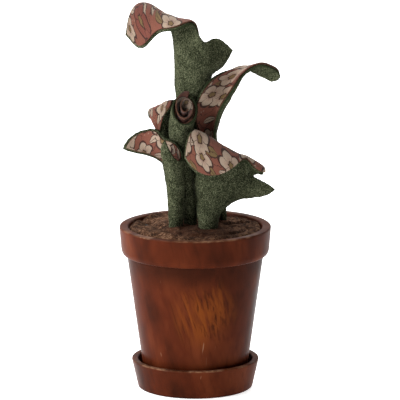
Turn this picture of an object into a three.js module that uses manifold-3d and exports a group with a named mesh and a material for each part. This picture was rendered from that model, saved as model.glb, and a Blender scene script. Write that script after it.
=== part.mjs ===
// A small potted pitcher plant made of cloth: six pitchers cut from green wool felt with a
// printed cotton lining, standing in a brown cloth soil over a firm filling, in a turned
// wooden pot on its turned wooden saucer. Millimetres, +Z up, -Y is the front.
// The origin is the middle of the saucer's flat underside.
import * as THREE from "three";
import * as BufferGeometryUtils from "three/addons/utils/BufferGeometryUtils.js";
import Module from "manifold-3d";

// ---- driving dimensions -------------------------------------------------------------------
const CLEARANCE = 0.3; // between touching pieces

const SAUCER_HEIGHT = 11.9;
const SAUCER_RIM_RADIUS = 25.6;
const SAUCER_FOOT_RADIUS = 22.9;
const SAUCER_WALL = 2.6;
const SAUCER_FLOOR = 2.5;

const POT_TOP = 66;
const POT_RIM_RADIUS = 30.4;
const POT_FOOT_RADIUS = 20.2;
const POT_SHOULDER_RADIUS = 27.4;
const POT_BAND_HEIGHT = 11.4;
const POT_WALL = 3.5;
const POT_FLOOR = 4.5;

const SOIL_RADIUS = 26.3;
const SOIL_EDGE = 65.2;
const SOIL_CROWN = 67.5;
const SOIL_THICKNESS = 1.6;
const SOIL_ROLL = { radius: 23.9, width: 1.6, height: 1.4 };
const SOIL_CREASE = { radius: 20.2, width: 1.3, depth: 0.6 };
const SOIL_ROLL_SIDE = 215; // direction in degrees in which the roll is highest

const FELT_THICKNESS = 0.85;
const LINING_THICKNESS = 0.6;
const STEM_BOTTOM = 50;

const LATHE_SIDES = 40;
const HOLE_SIDES = 16;

// ---- materials ----------------------------------------------------------------------------
const wood = () => new THREE.MeshStandardMaterial({ color: 0x7a3d22, roughness: 0.42, metalness: 0 });
const felt = () => new THREE.MeshStandardMaterial({ color: 0x55603f, roughness: 0.96, metalness: 0 });
const print = () => new THREE.MeshStandardMaterial({ color: 0xa5614c, roughness: 0.85, metalness: 0 });
const soilCloth = () => new THREE.MeshStandardMaterial({ color: 0x6b4a35, roughness: 0.97, metalness: 0 });
const foam = () => new THREE.MeshStandardMaterial({ color: 0x3d3a36, roughness: 0.9, metalness: 0 });

// ---- turned wood --------------------------------------------------------------------------
function turned(outline) {
  const points = outline.map(([radius, z]) => new THREE.Vector2(radius, z));
  // a lathe turns about Y, so the turned piece is stood up along Z
  return new THREE.LatheGeometry(points, LATHE_SIDES).rotateX(Math.PI / 2);
}

function saucerGeometry() {
  const edge = 0.5;
  const footRound = 0.9;
  const innerTop = SAUCER_RIM_RADIUS - SAUCER_WALL;
  const innerFoot = SAUCER_FOOT_RADIUS - 1.7;
  return turned([
    [0, 0],
    [SAUCER_FOOT_RADIUS - footRound, 0],
    [SAUCER_FOOT_RADIUS - 0.2, 0.35],
    [SAUCER_FOOT_RADIUS + 0.2, footRound],
    [SAUCER_RIM_RADIUS, SAUCER_HEIGHT - edge],
    [SAUCER_RIM_RADIUS - edge, SAUCER_HEIGHT],
    [innerTop + edge, SAUCER_HEIGHT],
    [innerTop, SAUCER_HEIGHT - edge],
    [innerFoot, SAUCER_FLOOR],
    [0, SAUCER_FLOOR],
  ]);
}

const POT_FOOT = SAUCER_FLOOR + CLEARANCE;
const BAND_BOTTOM = POT_TOP - POT_BAND_HEIGHT;
const INNER_FLOOR = POT_FOOT + POT_FLOOR;
const INNER_FLOOR_RADIUS = POT_FOOT_RADIUS - POT_WALL + 0.4;
const INNER_RIM_RADIUS = POT_RIM_RADIUS - POT_WALL;

function potInnerRadius(z) {
  return THREE.MathUtils.mapLinear(z, INNER_FLOOR, POT_TOP, INNER_FLOOR_RADIUS, INNER_RIM_RADIUS);
}

function potGeometry() {
  const edge = 0.5;
  return turned([
    [0, POT_FOOT],
    [POT_FOOT_RADIUS - edge, POT_FOOT],
    [POT_FOOT_RADIUS, POT_FOOT + edge],
    [POT_SHOULDER_RADIUS, BAND_BOTTOM],
    [POT_RIM_RADIUS - 1.9, BAND_BOTTOM + 0.2],
    [POT_RIM_RADIUS - 1.1, BAND_BOTTOM + 0.9],
    [POT_RIM_RADIUS - 0.75, BAND_BOTTOM + 2.2],
    [POT_RIM_RADIUS, POT_TOP - edge],
    [POT_RIM_RADIUS - edge, POT_TOP],
    [INNER_RIM_RADIUS + edge, POT_TOP],
    [INNER_RIM_RADIUS, POT_TOP - edge],
    [INNER_FLOOR_RADIUS, INNER_FLOOR],
    [0, INNER_FLOOR],
  ]);
}

// ---- the sheets ---------------------------------------------------------------------------
// A pitcher is one sheet S(u, v): v runs across it from one cut edge to the other, and u runs
// from the foot of the stem to the cut top. Its rows are rings, where the sheet is rolled to a
// tube, and open curves through a few chosen points, where it opens, folds and flares.

// Part of a ring about (x, y), from angle `from` to `to` in degrees. `deep` is its radius in
// depth, and `tilt` is how far it rises for each millimetre of depth.
function ring(z, x, y, radius, from, to, deep = radius, tilt = 0) {
  return (v) => {
    const angle = THREE.MathUtils.degToRad(from + (to - from) * v);
    const across = radius * Math.cos(angle);
    const back = deep * Math.sin(angle);
    return new THREE.Vector3(x + across, y + back, z + tilt * back);
  };
}

function curve(...points) {
  const vectors = points.map(([x, y, z]) => new THREE.Vector3(x, y, z));
  const line = new THREE.CatmullRomCurve3(vectors, false, "catmullrom", 0.5);
  return (v) => line.getPoint(v);
}

const PATH_SAMPLES = 24;

// The grid's column at `v`: one point on each row up to the mouth, and from there equal steps
// along the smooth path that the rows give, up to the cut edge.
function sheetColumn({ rows, mouth, lipSteps }, v) {
  const path = new THREE.CatmullRomCurve3(rows.map((row) => row(v)), false, "centripetal");
  const lengths = path.getLengths((rows.length - 1) * PATH_SAMPLES);
  const total = lengths.at(-1);
  const toMouth = lengths[mouth * PATH_SAMPLES];
  const stem = rows.slice(0, mouth).map((row) => row(v));
  const lip = Array.from({ length: lipSteps + 1 }, (_, k) => (
    path.getPointAt(Math.min(1, (toMouth + (total - toMouth) * (k / lipSteps)) / total))
  ));
  return [...stem, ...lip];
}

// Cloth doesn't crease sharper than it is thick: every point above the soil moves towards the
// middle of its neighbours and nearly as far back, which rounds the creases and keeps the form.
const EASE_ROUNDS = 3;
const EASE_IN = 0.5;
const EASE_BACK = -0.52;
const TURN_ROUNDS = 2; // how often the outward directions are evened out

function eased(grid, share) {
  const lastRow = grid.length - 1;
  const lastColumn = grid[0].length - 1;
  return grid.map((row, i) => row.map((point, j) => {
    if (i < 2) return point;
    const inner = j > 0 && j < lastColumn;
    const neighbours = [];
    if (inner) neighbours.push(row[j - 1], row[j + 1]);
    if (i < lastRow) neighbours.push(grid[i - 1][j], grid[i + 1][j]);
    if (neighbours.length === 0) return point;
    const middle = new THREE.Vector3();
    neighbours.forEach((neighbour) => middle.addScaledVector(neighbour, 1 / neighbours.length));
    return point.clone().lerp(middle, share);
  }));
}

function sheetGrid(pitcher) {
  const columns = Array.from({ length: pitcher.columns + 1 }, (_, j) => (
    sheetColumn(pitcher, j / pitcher.columns)
  ));
  let places = columns[0].map((_, i) => columns.map((column) => column[i]));
  for (let round = 0; round < EASE_ROUNDS; round += 1) {
    places = eased(eased(places, EASE_IN), EASE_BACK);
  }
  const near = (grid, i, j) => grid[THREE.MathUtils.clamp(i, 0, grid.length - 1)][
    THREE.MathUtils.clamp(j, 0, pitcher.columns)];
  let outward = places.map((row, i) => row.map((_, j) => {
    const along = near(places, i + 1, j).clone().sub(near(places, i - 1, j));
    const across = near(places, i, j + 1).clone().sub(near(places, i, j - 1));
    return along.cross(across).normalize();
  }));
  for (let round = 0; round < TURN_ROUNDS; round += 1) {
    outward = outward.map((row, i) => row.map((out, j) => out.clone().multiplyScalar(2)
      .add(near(outward, i, j - 1)).add(near(outward, i, j + 1))
      .add(near(outward, i - 1, j)).add(near(outward, i + 1, j)).normalize()));
  }
  return places.map((row, i) => row.map((place, j) => ({ place, out: outward[i][j] })));
}

// A layer of cloth between two distances from the sheet, split alike on both faces.
function layerGeometry(grid, inner, outer) {
  const last = grid.length - 1;
  const columns = grid[0].length - 1;
  const size = grid.length * (columns + 1);
  const positions = [outer, inner].flatMap((distance) => grid.flatMap((row) => row.flatMap(
    ({ place, out }) => place.clone().addScaledVector(out, distance).toArray(),
  )));
  const top = (i, j) => i * (columns + 1) + j;
  const under = (i, j) => size + top(i, j);
  const index = [];
  const quad = (a, b, c, d) => index.push(a, b, c, a, c, d);
  for (let i = 0; i < last; i += 1) {
    for (let j = 0; j < columns; j += 1) {
      quad(top(i, j), top(i + 1, j), top(i + 1, j + 1), top(i, j + 1));
      index.push(under(i, j), under(i + 1, j + 1), under(i + 1, j));
      index.push(under(i, j), under(i, j + 1), under(i + 1, j + 1));
    }
    quad(top(i + 1, 0), top(i, 0), under(i, 0), under(i + 1, 0));
    quad(top(i, columns), top(i + 1, columns), under(i + 1, columns), under(i, columns));
  }
  for (let j = 0; j < columns; j += 1) {
    quad(top(0, j), top(0, j + 1), under(0, j + 1), under(0, j));
    quad(top(last, j + 1), top(last, j), under(last, j), under(last, j + 1));
  }
  const geometry = new THREE.BufferGeometry();
  geometry.setAttribute("position", new THREE.Float32BufferAttribute(positions, 3));
  geometry.setIndex(index);
  return geometry;
}

// ---- the six pitchers ---------------------------------------------------------------------
// `foot` is where the stem stands in the soil, with the radius of the middle of its wall.
const SEAM_AT_BACK = [73, -253];
const SEAM_AT_FRONT = [248, -68];
const SEAM_AT_LEFT = [158, -168];

function stem({ x, y, radius }, seam) {
  return [
    ring(STEM_BOTTOM, x, y, radius, ...seam),
    ring(POT_TOP, x, y, radius, ...seam),
  ];
}

// The tall pitcher opens to the back. Its lip folds over to the left and hangs down there,
// and a lobe flares to the right.
const tall = { name: "pitcher_tall", foot: { x: -0.8, y: 7.8, radius: 2.5 }, columns: 20 };
tall.mouth = 6;
tall.lipSteps = 11;
tall.rows = [
  ...stem(tall.foot, SEAM_AT_BACK),
  ring(84, -1.8, 8.6, 2.9, 78, -258),
  ring(97, -2.8, 9.2, 3.4, 75, -255),
  ring(107, -2.2, 9.4, 4.5, 70, -250),
  ring(117, -1.0, 8.9, 5.9, 50, -240),
  ring(125, -0.9, 8.4, 6.5, 24, -232),
  curve([10.7, 9.5, 129.5], [9.2, 6.5, 131], [6.6, 3.6, 132.5], [3.2, 1.6, 133.2],
    [-0.2, 0.9, 133.5], [-3.6, 1.6, 134], [-6.2, 3.6, 134], [-7.4, 6.3, 134],
    [-7.6, 9, 133.5], [-7.2, 11.3, 132.5], [-6.2, 13.2, 131]),
  curve([12.5, 9.2, 132.5], [10.6, 6.6, 135], [7, 4, 137], [3.6, 1.8, 137],
    [1.2, 1.6, 138.3], [-2.6, 4.2, 141.8], [-6.4, 5, 142], [-8.2, 6.6, 143],
    [-8.8, 9, 144.5], [-9.6, 11.5, 145.5], [-10.2, 13.5, 146]),
  curve([13.6, 9.1, 134.5], [11.2, 6.6, 137.4], [7.4, 4, 139.8], [3.5, 1.9, 138.4],
    [1.2, 1.4, 141.2], [-1.8, 3.6, 147], [-7, 3.6, 149.5], [-10.8, 4.8, 150.8],
    [-14.5, 7.2, 152], [-18.5, 9.5, 153.4], [-22, 12, 154.6]),
  curve([14, 9, 135.4], [11.4, 6.6, 138.3], [7.3, 4, 140.8], [3.4, 1.9, 138.9],
    [1, 0.7, 143.8], [-1.6, -0.5, 149.3], [-8.6, -1.4, 148.4], [-14.5, 1, 148.5],
    [-18.5, 3.5, 149], [-22.6, 5.8, 150.2], [-26, 8.2, 150.8]),
  curve([14.3, 9, 136], [11.5, 6.5, 139], [7.1, 4, 141.8], [3.3, 1.9, 139.5],
    [0.9, -0.2, 145.9], [-1.9, -2.4, 149.4], [-8.5, -3.5, 146.3], [-14.3, -0.5, 145.7],
    [-18.7, 1, 140.5], [-22.9, 2.5, 138.2], [-27.5, 5, 143]),
];

// The right pitcher opens to the front. Its long lip rises to the right, twists, and droops.
const right = { name: "pitcher_right", foot: { x: 9.8, y: 4.2, radius: 1.9 }, columns: 10 };
right.mouth = 5;
right.lipSteps = 11;
right.rows = [
  ...stem(right.foot, SEAM_AT_FRONT),
  ring(84, 8, 3.6, 2.3, 248, -68),
  ring(97, 5.4, 2.2, 2.7, 246, -66),
  curve([0.9, -0.2, 104], [1.1, 1.6, 104], [3, 3.3, 104], [5.8, 4, 104],
    [8, 2.6, 104.2], [7.7, -0.7, 104]),
  curve([-0.6, 0.7, 110.2], [1, 1.7, 110], [3.6, 2.6, 110], [6.8, 2.7, 110.2],
    [9.5, 1.2, 110.3], [8.3, -1.5, 110]),
  curve([2.7, 0.6, 120], [4.7, 1.7, 119], [7.6, 2.8, 117.2], [10.6, 3, 116.3],
    [12.4, 1.3, 116.2], [11.1, -1.3, 116.6]),
  curve([7.5, 2.9, 125.6], [9.4, 4.8, 124.3], [12, 5.9, 122.5], [14.3, 5, 121],
    [15.2, 2.5, 120.2], [14.3, -0.4, 120.8]),
  curve([14.6, 6.9, 128.1], [15.4, 6.3, 127.5], [16.3, 5.7, 126.8], [17.2, 4.7, 126],
    [17.8, 2.8, 125.7], [17.6, 0.5, 126.1]),
  curve([19.9, 7.4, 129.5], [20.3, 6.5, 129.3], [20.6, 5.2, 129.5], [20.9, 3.8, 129.4],
    [20.9, 2.4, 129.1], [20.6, 1, 128.8]),
  curve([25.6, 5.9, 126.3], [25.9, 4.7, 128], [26.2, 3.7, 129.6], [26.4, 2.6, 130.8],
    [26.5, 1.5, 131.5], [26.4, 0.5, 131.8]),
  curve([30.5, 4.4, 124.2], [32, 3.9, 124.7], [33.2, 3.2, 125.6], [33.7, 2.4, 126.9],
    [33.2, 1.7, 128.5], [31.9, 1, 129.8]),
];

// The centre pitcher is a short tube with a slanted round mouth that faces the front.
const centre = { name: "pitcher_centre", foot: { x: -2, y: -3.6, radius: 1.6 }, columns: 12 };
centre.mouth = 4;
centre.lipSteps = 6;
centre.rows = [
  ...stem(centre.foot, SEAM_AT_BACK),
  ring(84, -3, -3.4, 1.7, ...SEAM_AT_BACK),
  ring(95, -5.2, -2.8, 2.3, ...SEAM_AT_BACK),
  ring(103, -6, -3, 3.4, ...SEAM_AT_BACK, 3.2),
  ring(108, -5.5, -3.7, 4, ...SEAM_AT_BACK, 3.9, 0.35),
  ring(112, -4.7, -4.2, 4.1, ...SEAM_AT_BACK, 4, 0.85),
  ring(114.2, -4.1, -4.6, 4.2, ...SEAM_AT_BACK, 4.1, 1.2),
];

// The back pitcher stands behind the small one, and its lip folds over to the left.
const back = { name: "pitcher_back", foot: { x: -8, y: 3.8, radius: 1.6 }, columns: 16 };
back.mouth = 4;
back.lipSteps = 12;
back.rows = [
  ...stem(back.foot, SEAM_AT_BACK),
  ring(84, -9, 4, 1.9, ...SEAM_AT_BACK),
  ring(96, -11.2, 4.3, 2.2, 78, -258),
  ring(103, -12.2, 4.1, 2.5, 60, -250),
  curve([-9.8, 5.2, 110.2], [-9.8, 3.4, 110.2], [-10.6, 1.8, 110], [-12.4, 1.2, 109.8],
    [-14.2, 1.8, 109.6], [-15, 3.4, 109.8], [-14.4, 5.2, 110]),
  curve([-9.6, 5, 113.6], [-9.6, 3.6, 114.2], [-10, 2.3, 114.8], [-11.8, 1.5, 115.1],
    [-14.1, 1.5, 114.2], [-16.3, 2.3, 113.3], [-18.2, 3.9, 112]),
  curve([-9.5, 4.9, 114.6], [-9.3, 2.7, 115.6], [-10, 0.9, 116.5], [-12.2, 0.2, 116.1],
    [-14.7, 0.4, 114.6], [-17, 1, 113.2], [-18.8, 2.7, 112.5]),
  curve([-9.4, 4.6, 115.4], [-8.9, 1.6, 116.6], [-9.7, -0.9, 116.2], [-12.6, -2, 113.6],
    [-14.7, -1.8, 110.2], [-16.8, -1.2, 109.9], [-18.7, 1, 111.6]),
  curve([-9.3, 4.4, 116], [-8.7, 0.7, 117.1], [-9.6, -2, 114.8], [-12.9, -2.8, 110],
    [-14.3, -2.3, 103], [-16, -2.1, 106.6], [-18.4, 0.2, 110.6]),
];

// The small pitcher opens up beside its tube into a wide lip that reaches to the left.
const small = { name: "pitcher_small", foot: { x: -7.7, y: -7.6, radius: 1.8 }, columns: 18 };
small.mouth = 3;
small.lipSteps = 8;
small.rows = [
  ...stem(small.foot, SEAM_AT_LEFT),
  ring(80, -7.6, -7.9, 2.2, ...SEAM_AT_LEFT),
  ring(88, -8.1, -8.7, 2.5, ...SEAM_AT_LEFT, 2.2),
  curve([-12, -8.2, 92.6], [-11.8, -7.6, 93.2], [-11.2, -7.2, 93.8], [-10.2, -7, 94.1],
    [-8.8, -7, 94.3], [-6.8, -7.6, 94.3], [-5.6, -9.6, 94.2], [-6.6, -11.6, 93.5],
    [-9.4, -12.2, 93], [-11.6, -10.6, 93]),
  curve([-18.2, -6.5, 96.2], [-16.8, -5.4, 97.8], [-15, -5.8, 99], [-13.2, -6.6, 99.3],
    [-11.2, -7.4, 98.5], [-8.4, -8, 98.6], [-6, -9.5, 97], [-6, -11.5, 94.5],
    [-9.4, -12.7, 94], [-12.8, -11, 97]),
  curve([-25, -5.5, 97.4], [-22.5, -3.8, 100.3], [-19.5, -3.8, 102.6], [-16, -4.8, 103.2],
    [-13.2, -6.8, 101.6], [-9.6, -8.2, 101.3], [-6.4, -9.2, 98.6], [-5.6, -11.4, 95],
    [-9, -12.9, 95.4], [-13, -11.1, 100.6]),
  curve([-28.2, -5.5, 98.7], [-25.8, -3.8, 102.4], [-20.3, -2.8, 105.2], [-15, -4.5, 105.6],
    [-13.2, -6.8, 102.8], [-10, -8.2, 102.5], [-6.3, -9, 99.4], [-5.5, -11.4, 95.3],
    [-8.6, -13, 96.2], [-11.8, -11.4, 102.6]),
];

// The front pitcher opens to the back. Its lip folds forward over a ridge that slopes to the
// right and ends in a narrow tongue, and a pointed lobe reaches to the right below it.
const front = { name: "pitcher_front", foot: { x: 5.2, y: -7.4, radius: 3.1 }, columns: 22 };
front.mouth = 4;
front.lipSteps = 12;
front.rows = [
  ...stem(front.foot, SEAM_AT_BACK),
  ring(70.5, 5.3, -7.3, 3.2, 50, -253),
  ring(75, 6.1, -5.7, 4.7, 12, -250, 4.2),
  curve([17.5, -2, 77.6], [16.6, -3, 78.3], [15.6, -3.8, 78.8], [14.4, -4.8, 79],
    [13, -5.8, 79], [11.6, -6.8, 79], [10, -7.7, 79], [8.2, -8.4, 79],
    [6.2, -8.7, 79], [4, -8.5, 79], [2, -7.3, 79], [1, -5, 79], [2.2, -2, 79]),
  curve([28.5, -2.5, 79.4], [25.5, -3.2, 81.3], [22.8, -3.8, 83], [20.6, -4.4, 84],
    [19.4, -5, 84.2], [18, -5.8, 84.3], [16.2, -6.6, 84.4], [14, -7.6, 84.5],
    [11, -8.7, 84.7], [7, -9.4, 85], [3, -8.8, 85.3], [1, -5.8, 85.6], [2.4, -2.6, 86]),
  curve([30.6, -2.5, 80.8], [27.4, -2.8, 83], [23.8, -3.2, 85], [21.4, -3.4, 85.9],
    [21.4, -3.4, 87.8], [22.2, -3.1, 89.1], [20.8, -3.5, 90.1], [18.4, -5, 90.5],
    [15.6, -7, 91.6], [11.2, -8.2, 93.2], [6, -8.6, 95.2], [1.8, -7.2, 96.8],
    [1.8, -5, 97.5]),
  curve([31.1, -2.5, 81.2], [28.1, -2.8, 83.5], [24.3, -3.2, 85.5], [22.2, -3.2, 86.5],
    [23.2, -3, 88.6], [25.6, -3.1, 90], [24.4, -3.9, 91.8], [22, -4.9, 93.6],
    [19.3, -6, 95], [14.6, -7, 98.1], [9.2, -7.8, 101.8], [4, -8.2, 105.5],
    [-0.1, -9, 107.2]),
  curve([31.2, -2.5, 81.3], [28.2, -2.8, 83.7], [24.4, -3.2, 85.7], [22.6, -3.1, 86.8],
    [24.3, -3, 88.6], [27.4, -4.8, 90.2], [25.4, -6.3, 92.2], [22.4, -7.2, 94],
    [19.4, -8.3, 95.9], [14.8, -10.8, 97.2], [7.6, -12.4, 99], [1.2, -12.4, 102],
    [-2.6, -11.6, 105.4]),
  curve([31.3, -2.5, 81.4], [28.3, -2.8, 83.8], [24.5, -3.2, 85.8], [22.9, -3.1, 87],
    [25.2, -3.1, 88.4], [27.8, -6, 88.6], [24.6, -8, 89.6], [21.7, -8.6, 93],
    [19, -9.6, 95], [14.9, -12.6, 91.6], [6.7, -14.2, 88.7], [-0.5, -14.2, 91.7],
    [-4.1, -13.2, 96.9]),
];

const PITCHERS = [tall, right, centre, back, small, front];

// ---- soil and filling ---------------------------------------------------------------------
// The cloth soil is a dome with a low roll along the left and front of the wall, a crease
// inside the roll, and shallow lumps.
function soilTop(x, y) {
  const radius = Math.hypot(x, y);
  const angle = Math.atan2(y, x);
  const dome = (SOIL_CROWN - SOIL_EDGE) * (1 - (radius / SOIL_RADIUS) ** 2);
  const leftFront = 0.5 + 0.5 * Math.cos(angle - THREE.MathUtils.degToRad(SOIL_ROLL_SIDE));
  const bump = ({ radius: middle, width }) => leftFront * Math.exp(-(((radius - middle) / width) ** 2));
  const roll = SOIL_ROLL.height * bump(SOIL_ROLL);
  const crease = SOIL_CREASE.depth * bump(SOIL_CREASE);
  const lumps = (radius / SOIL_RADIUS) * (0.3 * Math.sin(3 * angle + 1) + 0.22 * Math.cos(5 * angle - 0.7));
  return SOIL_EDGE + dome + roll - crease + lumps;
}

const SOIL_RINGS = [5, 10, 15, 18.5, 21, 23.3, 25.1, SOIL_RADIUS];
const SOIL_GAP = 0.5; // more than CLEARANCE, since the soil's top is faceted between its rings
const FILLING_RINGS = [23.9, 20.2, 15, 8];
const FILLING_WALL_TOP = 60;

// Moves each vertex to its depth below the soil's top surface, or leaves it where depth is null.
function drapeTop(geometry, depthOf) {
  const position = geometry.attributes.position;
  for (let i = 0; i < position.count; i += 1) {
    const depth = depthOf(position.getZ(i));
    if (depth === null) continue;
    position.setZ(i, soilTop(position.getX(i), position.getY(i)) - depth);
  }
  return geometry;
}

function soilBlank() {
  const rings = [0, ...SOIL_RINGS];
  const underside = rings.map((radius) => [radius, -SOIL_THICKNESS]);
  const top = rings.map((radius) => [radius, 0]).reverse();
  return drapeTop(turned([...underside, ...top]), (z) => -z);
}

function fillingBlank() {
  const bottom = INNER_FLOOR + CLEARANCE;
  const under = SOIL_THICKNESS + CLEARANCE + SOIL_GAP;
  const blank = turned([
    [0, bottom],
    [potInnerRadius(bottom) - CLEARANCE, bottom],
    [potInnerRadius(FILLING_WALL_TOP) - CLEARANCE, FILLING_WALL_TOP],
    ...FILLING_RINGS.map((radius) => [radius, -under]),
    [0, -under],
  ]);
  return drapeTop(blank, (z) => (z < 0 ? under : null));
}

const wasm = await Module();
wasm.setup();

function solid(geometry) {
  const bare = geometry.clone();
  bare.deleteAttribute("normal");
  bare.deleteAttribute("uv");
  const merged = BufferGeometryUtils.mergeVertices(bare, 1e-4);
  return new wasm.Manifold(new wasm.Mesh({
    numProp: 3,
    vertProperties: new Float32Array(merged.attributes.position.array),
    triVerts: new Uint32Array(merged.index.array),
  }));
}

function unsolid(manifold) {
  const mesh = manifold.getMesh();
  const geometry = new THREE.BufferGeometry();
  geometry.setAttribute("position", new THREE.BufferAttribute(mesh.vertProperties, 3));
  geometry.setIndex(new THREE.BufferAttribute(mesh.triVerts, 1));
  return geometry;
}

function stemHole({ foot }) {
  const stemRadius = foot.radius + CLEARANCE / 2 + FELT_THICKNESS;
  const radius = (stemRadius + CLEARANCE) / Math.cos(Math.PI / HOLE_SIDES);
  const bottom = STEM_BOTTOM - CLEARANCE;
  const height = 30;
  const drill = new THREE.CylinderGeometry(radius, radius, height, HOLE_SIDES).rotateX(Math.PI / 2);
  return drill.translate(foot.x, foot.y, bottom + height / 2);
}

function drilled(blank) {
  return unsolid(PITCHERS.reduce((body, pitcher) => body.subtract(solid(stemHole(pitcher))), solid(blank)));
}

// ---- the object ---------------------------------------------------------------------------
const plant = new THREE.Group();

function add(name, geometry, material) {
  const mesh = new THREE.Mesh(geometry, material);
  mesh.name = name;
  plant.add(mesh);
}

add("saucer", saucerGeometry(), wood());
add("pot", potGeometry(), wood());
add("filling", drilled(fillingBlank()), foam());
add("soil", drilled(soilBlank()), soilCloth());
for (const pitcher of PITCHERS) {
  const grid = sheetGrid(pitcher);
  const half = CLEARANCE / 2;
  add(`${pitcher.name}_felt`, layerGeometry(grid, half, half + FELT_THICKNESS), felt());
  add(`${pitcher.name}_lining`, layerGeometry(grid, -half - LINING_THICKNESS, -half), print());
}

export default plant;
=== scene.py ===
import math

import bpy
import numpy as np
from bpy.props import FloatProperty, FloatVectorProperty, IntProperty, PointerProperty
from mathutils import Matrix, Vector


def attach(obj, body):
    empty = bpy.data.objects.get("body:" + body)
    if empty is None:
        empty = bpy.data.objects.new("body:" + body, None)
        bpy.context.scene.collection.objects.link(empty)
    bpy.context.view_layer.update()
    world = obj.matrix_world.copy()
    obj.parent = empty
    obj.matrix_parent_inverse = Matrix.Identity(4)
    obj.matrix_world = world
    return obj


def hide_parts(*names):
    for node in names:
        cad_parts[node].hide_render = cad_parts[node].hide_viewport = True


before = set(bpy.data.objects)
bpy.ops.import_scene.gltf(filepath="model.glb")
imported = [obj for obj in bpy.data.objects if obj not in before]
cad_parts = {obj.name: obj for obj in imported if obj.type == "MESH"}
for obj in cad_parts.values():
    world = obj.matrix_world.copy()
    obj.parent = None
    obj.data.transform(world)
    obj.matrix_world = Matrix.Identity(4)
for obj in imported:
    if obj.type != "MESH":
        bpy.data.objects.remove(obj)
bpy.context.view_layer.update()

bl_info = {
    "name": "Potted Pitcher Plant",
    "version": (1, 0, 0),
    "blender": (4, 5, 0),
    "location": "View3D > Sidebar > Pitcher Plant",
    "description": "Makes a small cloth pitcher plant in a turned wooden pot on its saucer",
    "category": "Add Mesh",
}

MM = 0.001
FULL_TURN = 2 * math.pi
WHITE = (1.0, 1.0, 1.0, 1.0)

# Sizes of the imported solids, in millimetres.
CLEARANCE = 0.3
SAUCER_TOP = 11.9
POT_TOP = 66.0
SOIL_RADIUS = 26.3
SOIL_EDGE = 65.2
SOIL_CROWN = 67.5
SOIL_THICKNESS = 1.6
FELT_THICKNESS = 0.85
LINING_THICKNESS = 0.6
STEM_BOTTOM = 50.0

# The roll along the soil's wall and the crease inside it: height, radius and width, in millimetres.
ROLL_HEIGHT = 1.4
ROLL_RADIUS = 23.9
ROLL_WIDTH = 1.6
ROLL_SIDE = math.radians(215)
FOLD_DEPTH = 0.6
FOLD_RADIUS = 20.2
FOLD_WIDTH = 1.3

# Sizes in millimetres and numbers of steps that only the looks have.
ARC_STEPS = 5
LONGEST_RUN = 1.2
PATH_SAMPLES = 48
SOIL_CELL = 0.36
SOIL_SIDES = 320
SOIL_FIBRES = 5200
SOIL_FIBRE_LENGTH = 1.6
SOIL_FIBRE_RADIUS = 0.035
COLLAR_HEIGHT = 0.35
COLLAR_GAP = 1.0
COLLAR_WIDTH = 1.1
SHOULDER_START = 0.965
SHOULDER_DROP = 0.8
DRILL_SIDES = 48
DRILL_BOTTOM = 55.0
DRILL_TOP = 75.0
DRILL_MARGIN = 0.08
FELT_FIBRE_RADIUS = 0.036
FELT_ROUGHNESS = 0.14
SCRAP_THICKNESS = 0.56

# How far the cut edges are moved, in cells, and the least share of its box that a cut may fill.
FELT_TRIM = 0.4
LINING_TRIM = -0.6
LEAST_FILL = 0.31

# Seeds of the random draws; the number of the pitcher is added to the lining's and the fuzz's.
LINING_SEED = 50
FUZZ_SEED = 90
SCRAP_SEED = 77
SOIL_FUZZ_SEED = 31

# The stage, in metres. Each lamp: its name, its place, its width and its share of the key's power.
FLOOR_HEIGHT = -0.0001
FLOOR_REACH = 4.0
VIEW_MIDDLE = Vector((0.0019, 0.0, 0.0764))
LAMPS = [
    ("key_light", Vector((-0.8, -0.45, 0.42)), 0.55, 1.0),
    ("floor_light", Vector((-0.1, 0.6, 1.15)), 1.1, 1.25),
]


# ---- sizes and colours that a user would change ---------------------------------------------
def colour(name, value, description):
    return FloatVectorProperty(name=name, description=description, default=value, size=3,
                               min=0.0, max=1.0, subtype="COLOR")


class WoodSettings(bpy.types.PropertyGroup):
    sides: IntProperty(name="Sides", description="Steps round a turned piece", default=192, min=32)
    deep: colour("Deep stain", (0.021, 0.0053, 0.0023), "Darkest reddish brown of the stain")
    middle: colour("Stain", (0.059, 0.0117, 0.0042), "Reddish brown of most of the wood")
    pale: colour("Thin stain", (0.1, 0.0225, 0.0077), "Where the stain is thin")
    wear_and_painted_shade: colour("Worn grain", (0.142, 0.0345, 0.0064), "Orange brown of the rubbed grain at the front")
    # Pale dry wood of the scratches, and also the painted highlight on the rim edge.
    dust_and_highlight: colour("Dry edge", (0.31, 0.17, 0.1), "Pale dry wood on the rubbed edges")
    roughness: FloatProperty(name="Roughness", description="Roughness of the lacquer",
                             default=0.34, min=0.0, max=1.0, subtype="FACTOR")


class FeltSettings(bpy.types.PropertyGroup):
    cell: FloatProperty(name="Mesh cell", description="Width of a mesh cell of the sheets",
                        default=0.0006, min=0.0002, max=0.003, unit="LENGTH", precision=5)
    deep: colour("Dark wool", (0.006, 0.0075, 0.0035), "Darkest wool of the mixture")
    middle: colour("Wool", (0.0265, 0.0315, 0.0152), "Grey green of most of the wool")
    pale: colour("Pale wool", (0.142, 0.15, 0.089), "Pale sage fibres of the mixture")
    cut: colour("Cut edge", (0.02, 0.027, 0.012), "Raw cut edge of the sheets")
    fuzz_length: FloatProperty(name="Fuzz length", description="Length of the loose fibres",
                               default=0.0013, min=0.0002, max=0.004, unit="LENGTH", precision=5)
    fuzz_count: IntProperty(name="Fuzz per square centimetre",
                            description="Loose fibres on one square centimetre of felt",
                            default=200, min=0, max=400)


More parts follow.
